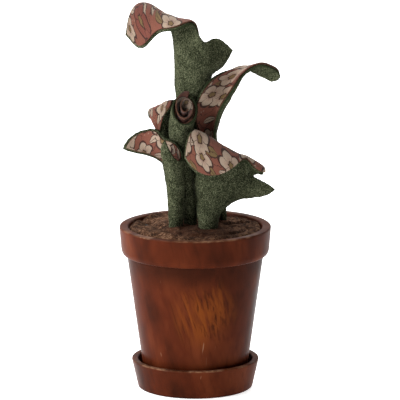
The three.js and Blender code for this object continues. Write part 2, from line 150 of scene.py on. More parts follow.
class PrintSettings(bpy.types.PropertyGroup):
    ground: colour("Ground", (0.235, 0.08, 0.05), "Terracotta ground of the print")
    cream: colour("Cream", (0.46, 0.345, 0.255), "Cream of the flowers and leaves")
    rose: colour("Rose", (0.2, 0.055, 0.038), "Rose red of the small flowers")
    ochre: colour("Ochre", (0.2, 0.125, 0.05), "Ochre olive of the small leaves")
    outline: colour("Outline", (0.045, 0.018, 0.012), "Dark brown of the drawn lines")
    edge: colour("Cut edge", (0.06, 0.028, 0.018), "Raw cut edge of the cotton")
    flower: FloatProperty(name="Flower spacing", description="Mean distance between flowers",
                          default=0.0112, min=0.002, max=0.05, unit="LENGTH", precision=4)
    weave: FloatProperty(name="Weave pitch", description="Distance between two threads",
                         default=0.00042, min=0.0001, max=0.003, unit="LENGTH", precision=5)


class SoilSettings(bpy.types.PropertyGroup):
    deep: colour("Dark wool", (0.007, 0.003, 0.0016), "Darkest wool of the soil cloth")
    middle: colour("Wool", (0.06, 0.0265, 0.0135), "Brown of most of the soil cloth")
    pale: colour("Pale wool", (0.24, 0.132, 0.079), "Pale fuzz of the soil cloth")
    red: colour("Red wool", (0.045, 0.0135, 0.0055), "Redder brown below the stems")


class StageSettings(bpy.types.PropertyGroup):
    camera_height: FloatProperty(name="Camera elevation", description="Camera's angle above the horizon",
                                 default=math.radians(12.4), subtype="ANGLE")
    camera_distance: FloatProperty(name="Camera distance", description="From the middle of the view",
                                   default=2.4, min=0.2, unit="LENGTH")
    lens: FloatProperty(name="Lens", description="Focal length on a 36 mm sensor, in millimetres",
                        default=540.0, min=10.0)
    key: FloatProperty(name="Key light", description="Watts of the large soft light at the left",
                       default=13.5, min=0.0)
    fill: FloatProperty(name="Fill", description="Strength of the even light from all round",
                        default=0.05, min=0.0)
    back: FloatProperty(name="Back", description="Strength added from behind", default=0.8, min=0.0)
    left: FloatProperty(name="Left", description="Strength added from the left", default=0.3,
                        min=0.0)


# ---- meshes ----------------------------------------------------------------------------------
def into_scene(name, data):
    made = bpy.data.objects.new(name, data)
    bpy.context.scene.collection.objects.link(made)
    return made


def make_piece(name, places, faces, materials, face_material=None, uv=None):
    """Makes an object at the origin from places in millimetres and a list of arrays of faces,
    each array with one number of corners. It rides on the body and takes its finish slot."""
    mesh = bpy.data.meshes.new(name)
    sizes = np.concatenate([np.full(len(part), part.shape[1]) for part in faces])
    corners = np.concatenate([part.ravel() for part in faces])
    mesh.vertices.add(len(places))
    mesh.vertices.foreach_set("co", (np.asarray(places) * MM).astype(np.float32).ravel())
    mesh.loops.add(len(corners))
    mesh.loops.foreach_set("vertex_index", corners.astype(np.int32))
    mesh.polygons.add(len(sizes))
    mesh.polygons.foreach_set("loop_start", (np.cumsum(sizes) - sizes).astype(np.int32))
    mesh.polygons.foreach_set("use_smooth", np.ones(len(sizes), bool))
    for material in materials:
        mesh.materials.append(material)
    if face_material is not None:
        mesh.polygons.foreach_set("material_index", face_material.astype(np.int32))
    if uv is not None:
        layer = mesh.uv_layers.new(name="cloth")
        layer.data.foreach_set("uv", uv[corners].astype(np.float32).ravel())
    mesh.update(calc_edges=True)
    if mesh.validate():
        raise RuntimeError(f"{name}: the mesh had faulty faces")
    piece = into_scene(name, mesh)
    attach(piece, "root")
    return piece


def lattice_faces(rows, columns, first=0, closed=False):
    """Four-cornered faces of a grid of points, row by row. Closed joins the last column to the first."""
    i, j = np.meshgrid(np.arange(rows - 1), np.arange(columns if closed else columns - 1), indexing="ij")
    here, right = i * columns + j, i * columns + (j + 1) % columns
    faces = np.stack([here, right, right + columns, here + columns], axis=-1)
    return first + faces.reshape(-1, 4)


def once_round(count):
    """The numbers of the points of a closed line, and for each the number of the next point."""
    here = np.arange(count)
    return here, (here + 1) % count


def smooth_noise(x, y, scale, seed):
    """Noise from -1 to 1: random values on a square lattice of that pitch, eased between its knots
    by 3t^2 - 2t^3."""
    values = np.random.default_rng(seed).uniform(-1, 1, (64, 64))
    gx, gy = x / scale, y / scale
    ix, iy = np.floor(gx).astype(int), np.floor(gy).astype(int)
    tx, ty = gx - ix, gy - iy
    tx, ty = tx * tx * (3 - 2 * tx), ty * ty * (3 - 2 * ty)
    low = values[ix % 64, iy % 64] * (1 - tx) + values[(ix + 1) % 64, iy % 64] * tx
    high = values[ix % 64, (iy + 1) % 64] * (1 - tx) + values[(ix + 1) % 64, (iy + 1) % 64] * tx
    return low * (1 - ty) + high * ty


# ---- materials -------------------------------------------------------------------------------
def connect(value, socket):
    """Feeds a field or a fixed value into a node's socket."""
    if isinstance(value, Field):
        socket.id_data.links.new(value.socket, socket)
    else:
        socket.default_value = value


class Field:
    """What a node gives at each point, a number, a vector or a colour. A sum, difference, product
    or quotient of fields is a node too."""

    def __init__(self, socket):
        self.socket = socket

    def then(self, operation, *others):
        number = self.socket.type == "VALUE"
        node = self.socket.id_data.nodes.new("ShaderNodeMath" if number else "ShaderNodeVectorMath")
        node.operation = operation
        for value, socket in zip((self, *others), node.inputs):
            connect(value, socket)
        return Field(node.outputs["Value" if number or operation == "LENGTH" else "Vector"])

    def __add__(self, other):
        return self.then("ADD", other)

    def __sub__(self, other):
        return self.then("SUBTRACT", other)

    def __mul__(self, other):
        return self.then("MULTIPLY", other)

    def __truediv__(self, other):
        return self.then("DIVIDE", other)

    def __abs__(self):
        return self.then("ABSOLUTE")


class Nodes:
    """A node tree while it is made: short calls that add nodes and join them."""

    def __init__(self, tree):
        self.tree = tree

    def add(self, kind, inputs=None, **settings):
        node = self.tree.nodes.new(kind)
        for key, value in settings.items():
            setattr(node, key, value)
        for key, value in (inputs or {}).items():
            connect(value, node.inputs[key])
        return node

    def give(self, output, kind, inputs=None, **settings):
        return Field(self.add(kind, inputs, **settings).outputs[output])

    def place(self):
        return self.give("Object", "ShaderNodeTexCoord")

    def turned(self, vector, scale=(1, 1, 1), angles=(0, 0, 0), shift=(0, 0, 0)):
        return self.give(0, "ShaderNodeMapping", {"Vector": vector, "Scale": scale, "Rotation": angles,
                                                  "Location": shift})

    def noise(self, vector, scale=1.0, detail=2.0, roughness=0.5, distortion=0.0, output="Fac"):
        return self.give(output, "ShaderNodeTexNoise", {
            "Vector": vector, "Scale": scale, "Detail": detail, "Roughness": roughness,
            "Distortion": distortion})

    def parts(self, vector):
        return [Field(socket) for socket in self.add("ShaderNodeSeparateXYZ", {0: vector}).outputs]

    def span(self, value, low, high, to_low=0.0, to_high=1.0):
        return self.give("Result", "ShaderNodeMapRange", {
            "Value": value, "From Min": low, "From Max": high, "To Min": to_low, "To Max": to_high},
            interpolation_type="SMOOTHSTEP")

    def mix(self, share, first, second, blend="MIX"):
        """First where the share is 0 and second where it is 1. The sockets go by number: the node
        has one of each name for every kind of value."""
        colours = [shade if isinstance(shade, Field) else (*shade, 1.0) for shade in (first, second)]
        return self.give(2, "ShaderNodeMix", {0: share, 6: colours[0], 7: colours[1]},
                         data_type="RGBA", blend_type=blend)

    def ramp(self, value, *stops):
        node = self.add("ShaderNodeValToRGB", {"Fac": value})
        elements = node.color_ramp.elements
        while len(elements) < len(stops):
            elements.new(0.5)
        for element, (position, shade) in zip(elements, stops):
            element.position = position
            element.color = (*shade, 1.0)
        return Field(node.outputs["Color"])


class Finish(Nodes):
    """A material of one shader, whose even values are given by the names of its sockets."""

    def __init__(self, name, **sockets):
        self.material = bpy.data.materials.new(name)
        self.material.use_nodes = True
        super().__init__(self.material.node_tree)
        self.shader = self.tree.nodes["Principled BSDF"]
        for socket, value in sockets.items():
            self.shader.inputs[socket.replace("_", " ")].default_value = value

    def finish(self, base, height=None, distance=0.0001, strength=1.0, roughness=None):
        connect(base, self.shader.inputs["Base Color"])
        if height is not None:
            bump = {"Height": height, "Distance": distance, "Strength": strength}
            connect(self.give(0, "ShaderNodeBump", bump), self.shader.inputs["Normal"])
        if roughness is not None:
            connect(roughness, self.shader.inputs["Roughness"])
        return self.material


def stained_wood(name, look, rim):
    """Turned wood under a reddish-brown stain. Slow noise stretched along Z gives the soft patches
    of the stain, and fine stretched noise the grain, which slants to the lower right. The grain
    shows most in the rubbed orange zone at the front of the pot, and painted shade darkens the
    wood below the pot's band. Thin scratches are pale and dry, and the edge at the height of the
    rim is pale dry wood with a painted highlight that grows towards the front."""
    f = Finish(name, Specular_IOR_Level=0.02)
    place = f.place()
    wavy = place + f.noise(place, 45.0, 1.0, output="Color") * (0.004, 0.004, 0.004)
    slanted = f.turned(wavy, angles=(0.0, 0.21, 0.0))
    grain = f.noise(f.turned(slanted, (800, 800, 32)), 1.0, 4.0, 0.6)
    broad = f.noise(f.turned(slanted, (130, 130, 17)))
    patches = f.noise(f.turned(wavy, (62, 62, 34)), 1.0, 3.0, 0.6)
    base = f.ramp(broad * 0.3 + patches * 0.7,
                  (0.32, look.deep), (0.5, look.middle), (0.68, look.pale))
    away = (wavy - (0.0055, -0.0245, 0.0362)) * (0.95, 0.5, 0.72)
    rubbed = f.span(away.then("LENGTH") + patches * 0.012, 0.0195, 0.0105)
    streaks = f.noise(f.turned(slanted, (310, 310, 22)), 1.0, 3.0, 0.55)
    base = f.mix(rubbed * f.span(streaks, 0.4, 0.62, 0.1, 1.0), base, look.wear_and_painted_shade)
    base = f.mix(f.span(grain, 0.5, 0.34) * (rubbed * 0.55 + 0.22), base, look.deep)
    leaning = f.turned(place, angles=(0.0, -0.12, 0.0))
    threads = f.noise(f.turned(leaning, (700, 700, 30)), 1.0, 1.0)
    scratches = f.span(threads, 0.7, 0.75) * f.span(patches, 0.5, 0.62, 0.0, 0.35)
    base = f.mix(scratches, base, look.dust_and_highlight)
    _, depth, height = f.parts(place)
    # Painted shade below the pot's band: the wood between 43 and 55 mm is darkened towards the deep
    # stain, in patches.
    painted_shade_below_band = f.span(height, 0.043, 0.053) * f.span(height, 0.0549, 0.0545)
    base = f.mix(painted_shade_below_band * f.span(patches, 0.36, 0.56, 0.25, 0.85), base, look.deep)
    # The rim edge: pale dry wood where it is rubbed, and a painted highlight that grows towards the
    # front.
    front = f.span(depth, -0.004, -0.024, 0.22, 1.0)
    chips = f.span(f.noise(place, 420.0, 3.0, 0.6), 0.4, 0.6, 0.3, 1.0)
    rub = f.span(f.noise(place, 90.0), 0.42, 0.6, 0.1, 0.7)
    edge = f.span(abs(height - rim * MM), 0.0006, 0.0001)
    base = f.mix(edge * rub * front * chips, base, look.dust_and_highlight)
    rough = f.span(patches, 0.3, 0.7, look.roughness - 0.06, look.roughness + 0.08)
    return f.finish(base, grain * 0.7 + patches * 1.6, 0.00008, 0.4, rough)


def wool_felt(name, deep, middle, pale, bump=0.0003):
    """Needled wool: fine noise mixes dark, middle and pale fibres in specks of about half a
    millimetre, slow noise shades them a little, and short stretched flecks lie over them."""
    f = Finish(name, Roughness=0.95, Sheen_Weight=0.02, Sheen_Roughness=0.5, Specular_IOR_Level=0.04,
               Sheen_Tint=(*[min(1.0, 3.0 * part) for part in pale], 1.0))
    place = f.place()
    clouds = f.noise(place, 210.0, 2.0, 0.5, 0.4)
    specks = f.noise(place, 2900.0, 2.0, 0.65, 0.6)
    tufts = f.noise(place, 1500.0, 2.0, 0.6, 0.8)
    lint = f.noise(f.turned(place, (3400, 3400, 1300), (0.5, 0.4, 0.2)), 1.0, 1.0, 0.5, 0.6)
    strands = f.noise(f.turned(place, (1300, 3400, 3000), (0.3, -0.5, 0.9)), 1.0, 1.0, 0.5, 0.6)
    base = f.ramp(clouds * 0.16 + tufts * 0.22 + specks * 0.62, (0.4, deep), (0.5, middle), (0.63, pale))
    base = f.mix(f.span(lint, 0.58, 0.7, 0.0, 0.7), base, pale)
    base = f.mix(f.span(strands, 0.42, 0.3, 0.0, 0.75), base, deep)
    return f.finish(base, specks * 0.6 + tufts * 0.4, bump, 0.9)


def scattered(f, cloth, pitch, randomness, shift, turn):
    """A Voronoi net of that pitch on the turned and shifted cloth. Gives the way from the nearest
    point of the net, in pitches, and three random numbers from 0 to 1 that belong to that point."""
    moved = f.turned(cloth, (1 / pitch, 1 / pitch, 1), (0, 0, turn), shift)
    net = f.add("ShaderNodeTexVoronoi", {"Vector": moved, "Scale": 1.0, "Randomness": randomness},
                voronoi_dimensions="2D").outputs
    return moved - Field(net["Position"]), f.parts(Field(net["Color"]))


def flower_shapes(f, cloth, pitch):
    """Five-petalled flowers: with r and a the polar coordinates round a point of the net and c, d
    its random numbers, a flower covers r < 0.42 (0.8 + 0.35 c) (0.7 + 0.3 |cos(2.5 (a + 2 pi d))|).
    Gives the share of that reach, the |cos| and the third random number."""
    away, chance = scattered(f, cloth, pitch, 0.75, (0.4, 1.7, 0), 0.25)
    x, y, _ = f.parts(away)
    angle = y.then("ARCTAN2", x) + chance[0] * FULL_TURN
    wave = abs((angle * 2.5).then("COSINE"))
    reach = (chance[1] * 0.35 + 0.8) * 0.42 * (wave * 0.3 + 0.7)
    return (x * x + y * y).then("SQRT") / reach, wave, chance[2]


def leaf_shapes(f, cloth, pitch):
    """Leaves, each turned by chance: with p along the leaf and q across it, s = p / 0.42, and the
    bent q' = q + 0.08 s^2, a leaf covers |q'| < 0.19 (1 - s^2). Gives the share of that half-width,
    q' and a random number."""
    away, chance = scattered(f, cloth, pitch, 0.8, (2.3, 5.1, 0), 0.6)
    rotated = f.give(0, "ShaderNodeVectorRotate", {"Vector": away, "Angle": chance[0] * FULL_TURN},
                     rotation_type="Z_AXIS")
    p, q, _ = f.parts(rotated)
    square = (p / 0.42) * (p / 0.42)
    bent = q + square * 0.08
    half = (square * -1.0 + 1.0) * 0.19
    return abs(bent) / half.then("MAXIMUM", 0.001), bent, chance[1]


def floral_print(name, look, shift=(0.0, 0.0, 0.0), wear_and_painted_shade=1.0):
    """Plain-weave cotton with a small print of five-petalled flowers, leaves, thin curved stalks
    and dots on a terracotta ground, drawn with dark outlines in the cloth's own coordinates. A
    last argument below 1 darkens the whole print with painted shade."""
    f = Finish(name, Roughness=0.88, Sheen_Weight=0.12, Sheen_Roughness=0.5, Specular_IOR_Level=0.2)
    cloth = f.give("UV", "ShaderNodeUVMap", uv_map="cloth") + shift
    pitch = look.flower / MM
    wobble = f.noise(cloth, 0.9, output="Color") - (0.5, 0.5, 0.5)
    drawn = cloth + wobble * (0.8, 0.8, 0.0)

    wash = f.span(f.noise(cloth, 0.35, 3.0, 0.6), 0.35, 0.7, 0.0, 0.3)
    stalks = f.span(abs(f.noise(drawn, 0.13) - 0.5), 0.011, 0.005)
    base = f.mix(stalks * 0.85, f.mix(wash, look.ground, look.rose), look.outline)
    dots = f.give("Distance", "ShaderNodeTexVoronoi", {"Vector": drawn, "Scale": 0.62,
                                                       "Randomness": 0.6}, voronoi_dimensions="2D")
    sown = f.span(f.noise(cloth, 0.11, 1.0), 0.58, 0.64, 0.0, 0.5)
    base = f.mix(f.span(dots, 0.19, 0.13) * sown, base, look.cream)

    share, across, chance = leaf_shapes(f, drawn, pitch * 0.62)
    base = f.mix(f.span(share, 1.35, 1.15), base, look.outline)
    leaf = f.mix(chance.then("GREATER_THAN", 0.42), look.ochre, look.cream)
    base = f.mix(f.span(share, 1.0, 0.85), base, leaf)
    vein = f.span(share, 1.0, 0.9) * f.span(abs(across), 0.03, 0.012)
    base = f.mix(vein * 0.7, base, look.outline)

    share, wave, chance = flower_shapes(f, drawn, pitch)
    petal = f.mix(chance.then("GREATER_THAN", 0.9), look.cream, look.rose)
    petal = f.mix(f.span(share, 0.75, 0.3, 0.0, 0.35), petal, look.ground)
    seams = f.span(wave, 0.16, 0.05) * f.span(share, 1.0, 0.9) * 0.8
    for covered, shade in ((f.span(share, 1.2, 1.12), look.outline), (f.span(share, 1.02, 0.94), petal),
                           (seams, look.outline), (f.span(share, 0.36, 0.3), look.outline),
                           (f.span(share, 0.26, 0.2), look.ochre)):
        base = f.mix(covered, base, shade)

    threads = f.parts(cloth * ((FULL_TURN * MM / look.weave,) * 3))
    weave = threads[0].then("SINE") * 0.5 + threads[1].then("SINE") * 0.5
    slubs = f.noise(f.turned(cloth, (1.1, 3.4, 1.0)), 1.0, 2.0, 0.6)
    # A last argument below 1 darkens the whole print: painted shade.
    weave_and_painted_shade = f.ramp(weave * 0.5 + slubs * 0.55 + 0.24, (0.2, (0.38 * wear_and_painted_shade,) * 3), (0.75, (wear_and_painted_shade,) * 3))
    return f.finish(f.mix(1.0, base, weave_and_painted_shade, "MULTIPLY"), weave, 0.00008, 0.9)


def soil_wool(name, look):
    """Brown fuzzy wool: pale fuzz in clumps over dark wool, redder below the stems at the front."""
    f = Finish(name, Roughness=0.97, Sheen_Weight=0.04, Sheen_Roughness=0.6, Specular_IOR_Level=0.05,
               Sheen_Tint=(0.75, 0.6, 0.5, 1.0))
    place = f.place()
    clumps = f.noise(place, 320.0, 4.0, 0.65, 0.9)
    tufts = f.noise(place, 1500.0, 3.0, 0.65, 1.0)
    base = f.ramp(clumps * 0.55 + tufts * 0.45, (0.4, look.deep), (0.5, look.middle), (0.62, look.pale))
    away = (place - (0.002, -0.013, 0.067)) * (0.7, 1.0, 0.0)
    base = f.mix(f.span(away.then("LENGTH"), 0.014, 0.005, 0.0, 0.6), base, look.red)
    return f.finish(base, clumps * 0.6 + tufts * 0.4, 0.0008, 1.0)


def cut_foam(name):
    """Dark firm foam with open cells."""
    f = Finish(name, Roughness=0.95)
    place = f.place()
    cells = f.give("Distance", "ShaderNodeTexVoronoi", {"Vector": place, "Scale": 900.0})
    base = f.ramp(cells * 0.6 + f.noise(place, 120.0, 3.0) * 0.4,
                  (0.2, (0.015, 0.013, 0.011)), (0.8, (0.07, 0.063, 0.055)))
    return f.finish(base, cells, 0.0003, 0.7)


# ---- turned wood -----------------------------------------------------------------------------
def rounded_outline(corners):
    """Points (radius, height) along straight runs that meet in arcs. Each corner is (radius,
    height, rounding): an arc's points are the quadratic blend of the corner and the two points at
    the rounding's distance from it, and the runs are split to at most the longest step."""
    corners = np.array(corners, float)
    places, rounding = corners[:, :2], corners[:, 2]
    line = [places[0]]
    for k in range(1, len(places)):
        start, end = line[-1], places[k]
        if k < len(places) - 1 and rounding[k] > 0:
            before = end + (places[k - 1] - end) * rounding[k] / np.linalg.norm(places[k - 1] - end)
            after = end + (places[k + 1] - end) * rounding[k] / np.linalg.norm(places[k + 1] - end)
            t = np.linspace(0, 1, ARC_STEPS + 1)[:, None]
            arc = (1 - t) ** 2 * before + 2 * t * (1 - t) * end + t ** 2 * after
        else:
            arc = end[None]
        count = max(1, math.ceil(np.linalg.norm(arc[0] - start) / LONGEST_RUN))
        inner = np.linspace(0, 1, count + 1)[1:-1, None]
        line.extend([*(start + (arc[0] - start) * inner), *arc])
    return np.array(line)


def turned_piece(name, corners, sides, material, node):
    """S(u, a) = (r(u) cos a, r(u) sin a, z(u)): an outline (r, z) turned about Z. The outline runs
    from the axis at the bottom to the axis at the top, and one point closes each pole."""
    line = rounded_outline(corners)
    line = line[line[:, 0] > 0]
    here, after = once_round(sides)
    angle = here * FULL_TURN / sides
    radius, height = line[:, :1], line[:, 1:]
    wall = np.stack([radius * np.cos(angle), radius * np.sin(angle), height + 0 * angle], axis=-1)
    places = np.concatenate([wall.reshape(-1, 3), [[0, 0, corners[0][1]], [0, 0, corners[-1][1]]]])
    last = (len(line) - 1) * sides
    bottom = np.stack([np.full(sides, len(places) - 2), after, here], axis=-1)
    top = np.stack([np.full(sides, len(places) - 1), last + here, last + after], axis=-1)
    piece = make_piece(name, places, [lattice_faces(len(line), sides, closed=True), bottom, top],
                       [material])
    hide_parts(node)
    return piece


SAUCER_OUTLINE = [
    (0, 0, 0), (22.7, 0, 0.8), (23.1, 0.9, 0.5), (25.6, 11.9, 0.75), (23.0, 11.9, 0.7),
    (21.2, 2.5, 0.5), (0, 2.5, 0),
]
POT_OUTLINE = [
    (0, 2.8, 0), (20.2, 2.8, 0.6), (27.4, 54.6, 0.25), (28.9, 54.8, 0.55), (29.65, 56.4, 0.9),
    (30.4, 66, 0.7), (26.9, 66, 0.8), (17.1, 7.3, 0.5), (0, 7.3, 0),
]


# ---- the sheets ------------------------------------------------------------------------------
def ring(z, x, y, radius, start, end, deep=None, tilt=0.0):
    """Part of a ring about (x, y). At v the angle is start + (end - start) v in degrees, and the
    point is (x + radius cos, y + deep sin, z + tilt deep sin)."""
    deep = radius if deep is None else deep

    def at(v):
        angle = np.radians(start + (end - start) * v)
        back = deep * np.sin(angle)
        return np.stack([x + radius * np.cos(angle), y + back, z + tilt * back], axis=-1)
    return at


def curve(*points):
    """A uniform Catmull-Rom curve through the points, each step of which is an equal part of v."""
    knots = np.array(points, float)
    knots = np.vstack([2 * knots[0] - knots[1], knots, 2 * knots[-1] - knots[-2]])
    spans = len(points) - 1

    def at(v):
        first = np.minimum((v * spans).astype(int), spans - 1)
        t = (v * spans - first)[:, None]
        a, b, c, d = (knots[first + step] for step in range(4))
        return 0.5 * (2 * b + (c - a) * t + (2 * a - 5 * b + 4 * c - d) * t ** 2
                      + (3 * b - a - 3 * c + d) * t ** 3)
    return at


def path_through(points, samples):
    """Centripetal Catmull-Rom paths through rows of points (rows, columns, 3): a cubic on each
    step, whose parameter runs over the root of the step's length."""
    ends = np.concatenate([2 * points[:1] - points[1:2], points, 2 * points[-1:] - points[-2:-1]])
    chord = np.diff(ends, axis=0)
    span = np.sqrt(np.linalg.norm(chord, axis=-1, keepdims=True))
    slope = chord / span
    wide = (ends[2:] - ends[:-2]) / (span[:-1] + span[1:])
    start = (slope[:-2] - wide[:-1] + slope[1:-1]) * span[1:-1]
    stop = (slope[1:-1] - wide[1:] + slope[2:]) * span[1:-1]
    t = (np.arange(samples) / samples)[None, :, None, None]
    near, far = points[:-1, None], points[1:, None]
    start, stop = start[:, None], stop[:, None]
    path = (near + start * t + (3 * (far - near) - 2 * start - stop) * t ** 2
            + (2 * (near - far) + start + stop) * t ** 3)
    return np.concatenate([path.reshape(-1, *points.shape[1:]), points[-1:]])


def stations(pitcher):
    """The coarse grid: each column holds its point on every row below the mouth, and from the
    mouth to the cut edge points at equal distances along the smooth path through the rows."""
    v = np.linspace(0, 1, pitcher["columns"] + 1)
    x, y, radius = pitcher["foot"]
    stem = [ring(z, x, y, radius, *pitcher["seam"]) for z in (STEM_BOTTOM, POT_TOP)]
    rows = np.stack([row(v) for row in stem + pitcher["rows"]])
    path = path_through(rows, PATH_SAMPLES)
    steps = np.linalg.norm(np.diff(path, axis=0), axis=-1)
    length = np.concatenate([np.zeros((1, len(v))), np.cumsum(steps, axis=0)])
    mouth = pitcher["mouth"]
    first = length[mouth * PATH_SAMPLES]
    share = np.linspace(0, 1, pitcher["lip_steps"] + 1)
    lip = np.empty((len(share), len(v), 3))
    for j in range(len(v)):
        wanted = first[j] + (length[-1, j] - first[j]) * share
        for axis in range(3):
            lip[:, j, axis] = np.interp(wanted, length[:, j], path[:, j, axis])
    return np.concatenate([rows[:mouth], lip])


def eased(grid, share):
    """Moves every point above the soil by a share of the way to the mean of its neighbours."""
    total = np.zeros_like(grid)
    count = np.zeros((*grid.shape[:2], 1))
    total[:, 1:-1] += grid[:, :-2] + grid[:, 2:]
    count[:, 1:-1] += 2
    total[1:-1] += grid[:-2] + grid[2:]
    count[1:-1] += 2
    moved = grid + np.where(count > 0, total / np.maximum(count, 1) - grid, 0.0) * share
    moved[:2] = grid[:2]
    return moved


def unit(vectors):
    return vectors / np.maximum(np.linalg.norm(vectors, axis=-1, keepdims=True), 1e-12)


def beside(grid, down, right):
    """The grid shifted by whole steps, with its edges repeated."""
    rows = np.clip(np.arange(grid.shape[0]) + down, 0, grid.shape[0] - 1)
    columns = np.clip(np.arange(grid.shape[1]) + right, 0, grid.shape[1] - 1)
    return grid[rows][:, columns]


def spline_weights(knots, at):
    """Weights W so that W @ values is the natural cubic spline through the values at the knots."""
    n, h = len(knots), np.diff(knots)
    left, right = np.eye(n), np.zeros((n, n))
    i = np.arange(1, n - 1)
    left[i, i - 1], left[i, i], left[i, i + 1] = h[:-1], 2 * (h[:-1] + h[1:]), h[1:]
    right[i, i - 1], right[i, i], right[i, i + 1] = 6 / h[:-1], -6 / h[:-1] - 6 / h[1:], 6 / h[1:]
    bend = np.linalg.solve(left, right)
    k = np.clip(np.searchsorted(knots, at, side="right") - 1, 0, n - 2)
    a = (knots[k + 1] - at) / h[k]
    b = 1 - a
    weights = np.zeros((len(at), n))
    rows = np.arange(len(at))
    weights[rows, k] += a
    weights[rows, k + 1] += b
    weights += ((a ** 3 - a) * h[k] ** 2 / 6)[:, None] * bend[k]
    weights += ((b ** 3 - b) * h[k] ** 2 / 6)[:, None] * bend[k + 1]
    return weights


def fine_sheet(pitcher, cell):
    """The smooth sheet S(u, v) and its outward directions on a fine grid. The coarse grid is eased,
    which rounds its creases, and natural cubic splines run through it in both directions: along
    u over the mean distance between rows, along v over equal steps."""
    grid = stations(pitcher)
    for _ in range(3):
        grid = eased(eased(grid, 0.5), -0.52)
    along = beside(grid, 1, 0) - beside(grid, -1, 0)
    across = beside(grid, 0, 1) - beside(grid, 0, -1)
    out = unit(np.cross(along, across))
    for _ in range(2):
        out = unit(2 * out + beside(out, 0, -1) + beside(out, 0, 1) + beside(out, -1, 0)
                   + beside(out, 1, 0))
    between = np.linalg.norm(np.diff(grid, axis=0), axis=-1).mean(axis=1)
    knots = np.concatenate([[0], np.cumsum(between)])
    steps = np.maximum(1, np.round(between / cell).astype(int))
    u = np.concatenate([a + (b - a) * np.arange(n) / n for a, b, n in zip(knots, knots[1:], steps)])
    u = np.append(u, knots[-1])
    widest = np.linalg.norm(np.diff(grid, axis=1), axis=-1).sum(axis=1).max()
    columns = pitcher["columns"]
    finer = max(2, round(widest / columns / cell))
    v = np.arange(columns * finer + 1) / finer
    wu, wv = spline_weights(knots, u), spline_weights(np.arange(columns + 1.0), v)
    place = np.einsum("ai,bj,ijk->abk", wu, wv, grid)
    return place, unit(np.einsum("ai,bj,ijk->abk", wu, wv, out))


def cloth_map(place):
    """Cloth coordinates in millimetres: x is the distance along the row from the middle column,
    y the distance along the column from the foot."""
    x = np.linalg.norm(np.diff(place, axis=1), axis=-1)
    x = np.concatenate([np.zeros((len(place), 1)), np.cumsum(x, axis=1)], axis=1)
    x -= x[:, [x.shape[1] // 2]]
    y = np.linalg.norm(np.diff(place, axis=0), axis=-1)
    y = np.concatenate([np.zeros((1, place.shape[1])), np.cumsum(y, axis=0)])
    return np.stack([x, y], axis=-1)


def sheet_area(place):
    """The sheet's area: half the cross product of each cell's diagonals, summed."""
    one = place[1:, 1:] - place[:-1, :-1]
    two = place[:-1, 1:] - place[1:, :-1]
    return 0.5 * np.linalg.norm(np.cross(one, two), axis=-1).sum()


def rim_of(rows, columns):
    """Indices of a grid's border points in order, once round."""
    index = np.arange(rows * columns).reshape(rows, columns)
    return np.concatenate([index[0, :-1], index[:-1, -1], index[-1, :0:-1], index[:0:-1, 0]])


def trimmed(place, share):
    """The grid with its cut lines moved along the sheet by a share of a cell: outward where the
    share is positive, inward where it is negative."""
    place = place.copy()
    place[:, 0] += share * (place[:, 0] - place[:, 1])
    place[:, -1] += share * (place[:, -1] - place[:, -2])
    place[-1] += share * (place[-1] - place[-2])
    return place


def cloth_layer(name, place, out, inner, outer, materials, roughen=0.0, seed=0):
    """A layer of cloth between two distances from the sheet. Both faces are the sheet moved along
    its outward directions, and a third line of points, half way and a little further out, rounds
    the cut edge. Roughen moves the points of the faces by noise of that height."""
    rows, columns = place.shape[:2]
    cloth = cloth_map(place)
    lumps = (smooth_noise(cloth[..., 0], cloth[..., 1], 1.5, seed)
             + 1.2 * smooth_noise(cloth[..., 0], cloth[..., 1], 4.5, seed + 3))[..., None]
    faces_at = [place + out * (outer + roughen * lumps), place + out * inner]
    middle = place + out * (0.5 * (inner + outer))
    border = rim_of(rows, columns)
    flat = middle.reshape(-1, 3)
    near = [(1, 1), (1, -1), (-1, 1), (-1, -1), (2, 0), (-2, 0), (0, 2), (0, -2)]
    inward = np.stack([beside(middle, *step) for step in near]).mean(axis=0).reshape(-1, 3)
    fray = np.random.default_rng(seed + 7).uniform(0.2, 0.75, len(border))[:, None]
    edge = flat[border] + unit(flat[border] - inward[border]) * fray * (outer - inner) * 0.5
    places = np.concatenate([faces_at[0].reshape(-1, 3), faces_at[1].reshape(-1, 3), edge])
    size = rows * columns
    top = lattice_faces(rows, columns)[:, [0, 3, 2, 1]]
    under = lattice_faces(rows, columns, first=size)
    here, after = once_round(len(border))
    upper = np.stack([border, border[after], 2 * size + after, 2 * size + here], axis=-1)
    lower = np.stack([2 * size + here, 2 * size + after, size + border[after], size + border], axis=-1)
    counts = [len(top), len(under), len(upper) + len(lower)]
    face_material = np.repeat([0, 0, 1], counts)
    uv = np.concatenate([cloth.reshape(-1, 2), cloth.reshape(-1, 2), cloth.reshape(-1, 2)[border]])
    piece = make_piece(name, places, [top, under, upper, lower], materials, face_material, uv)
    return piece, cloth


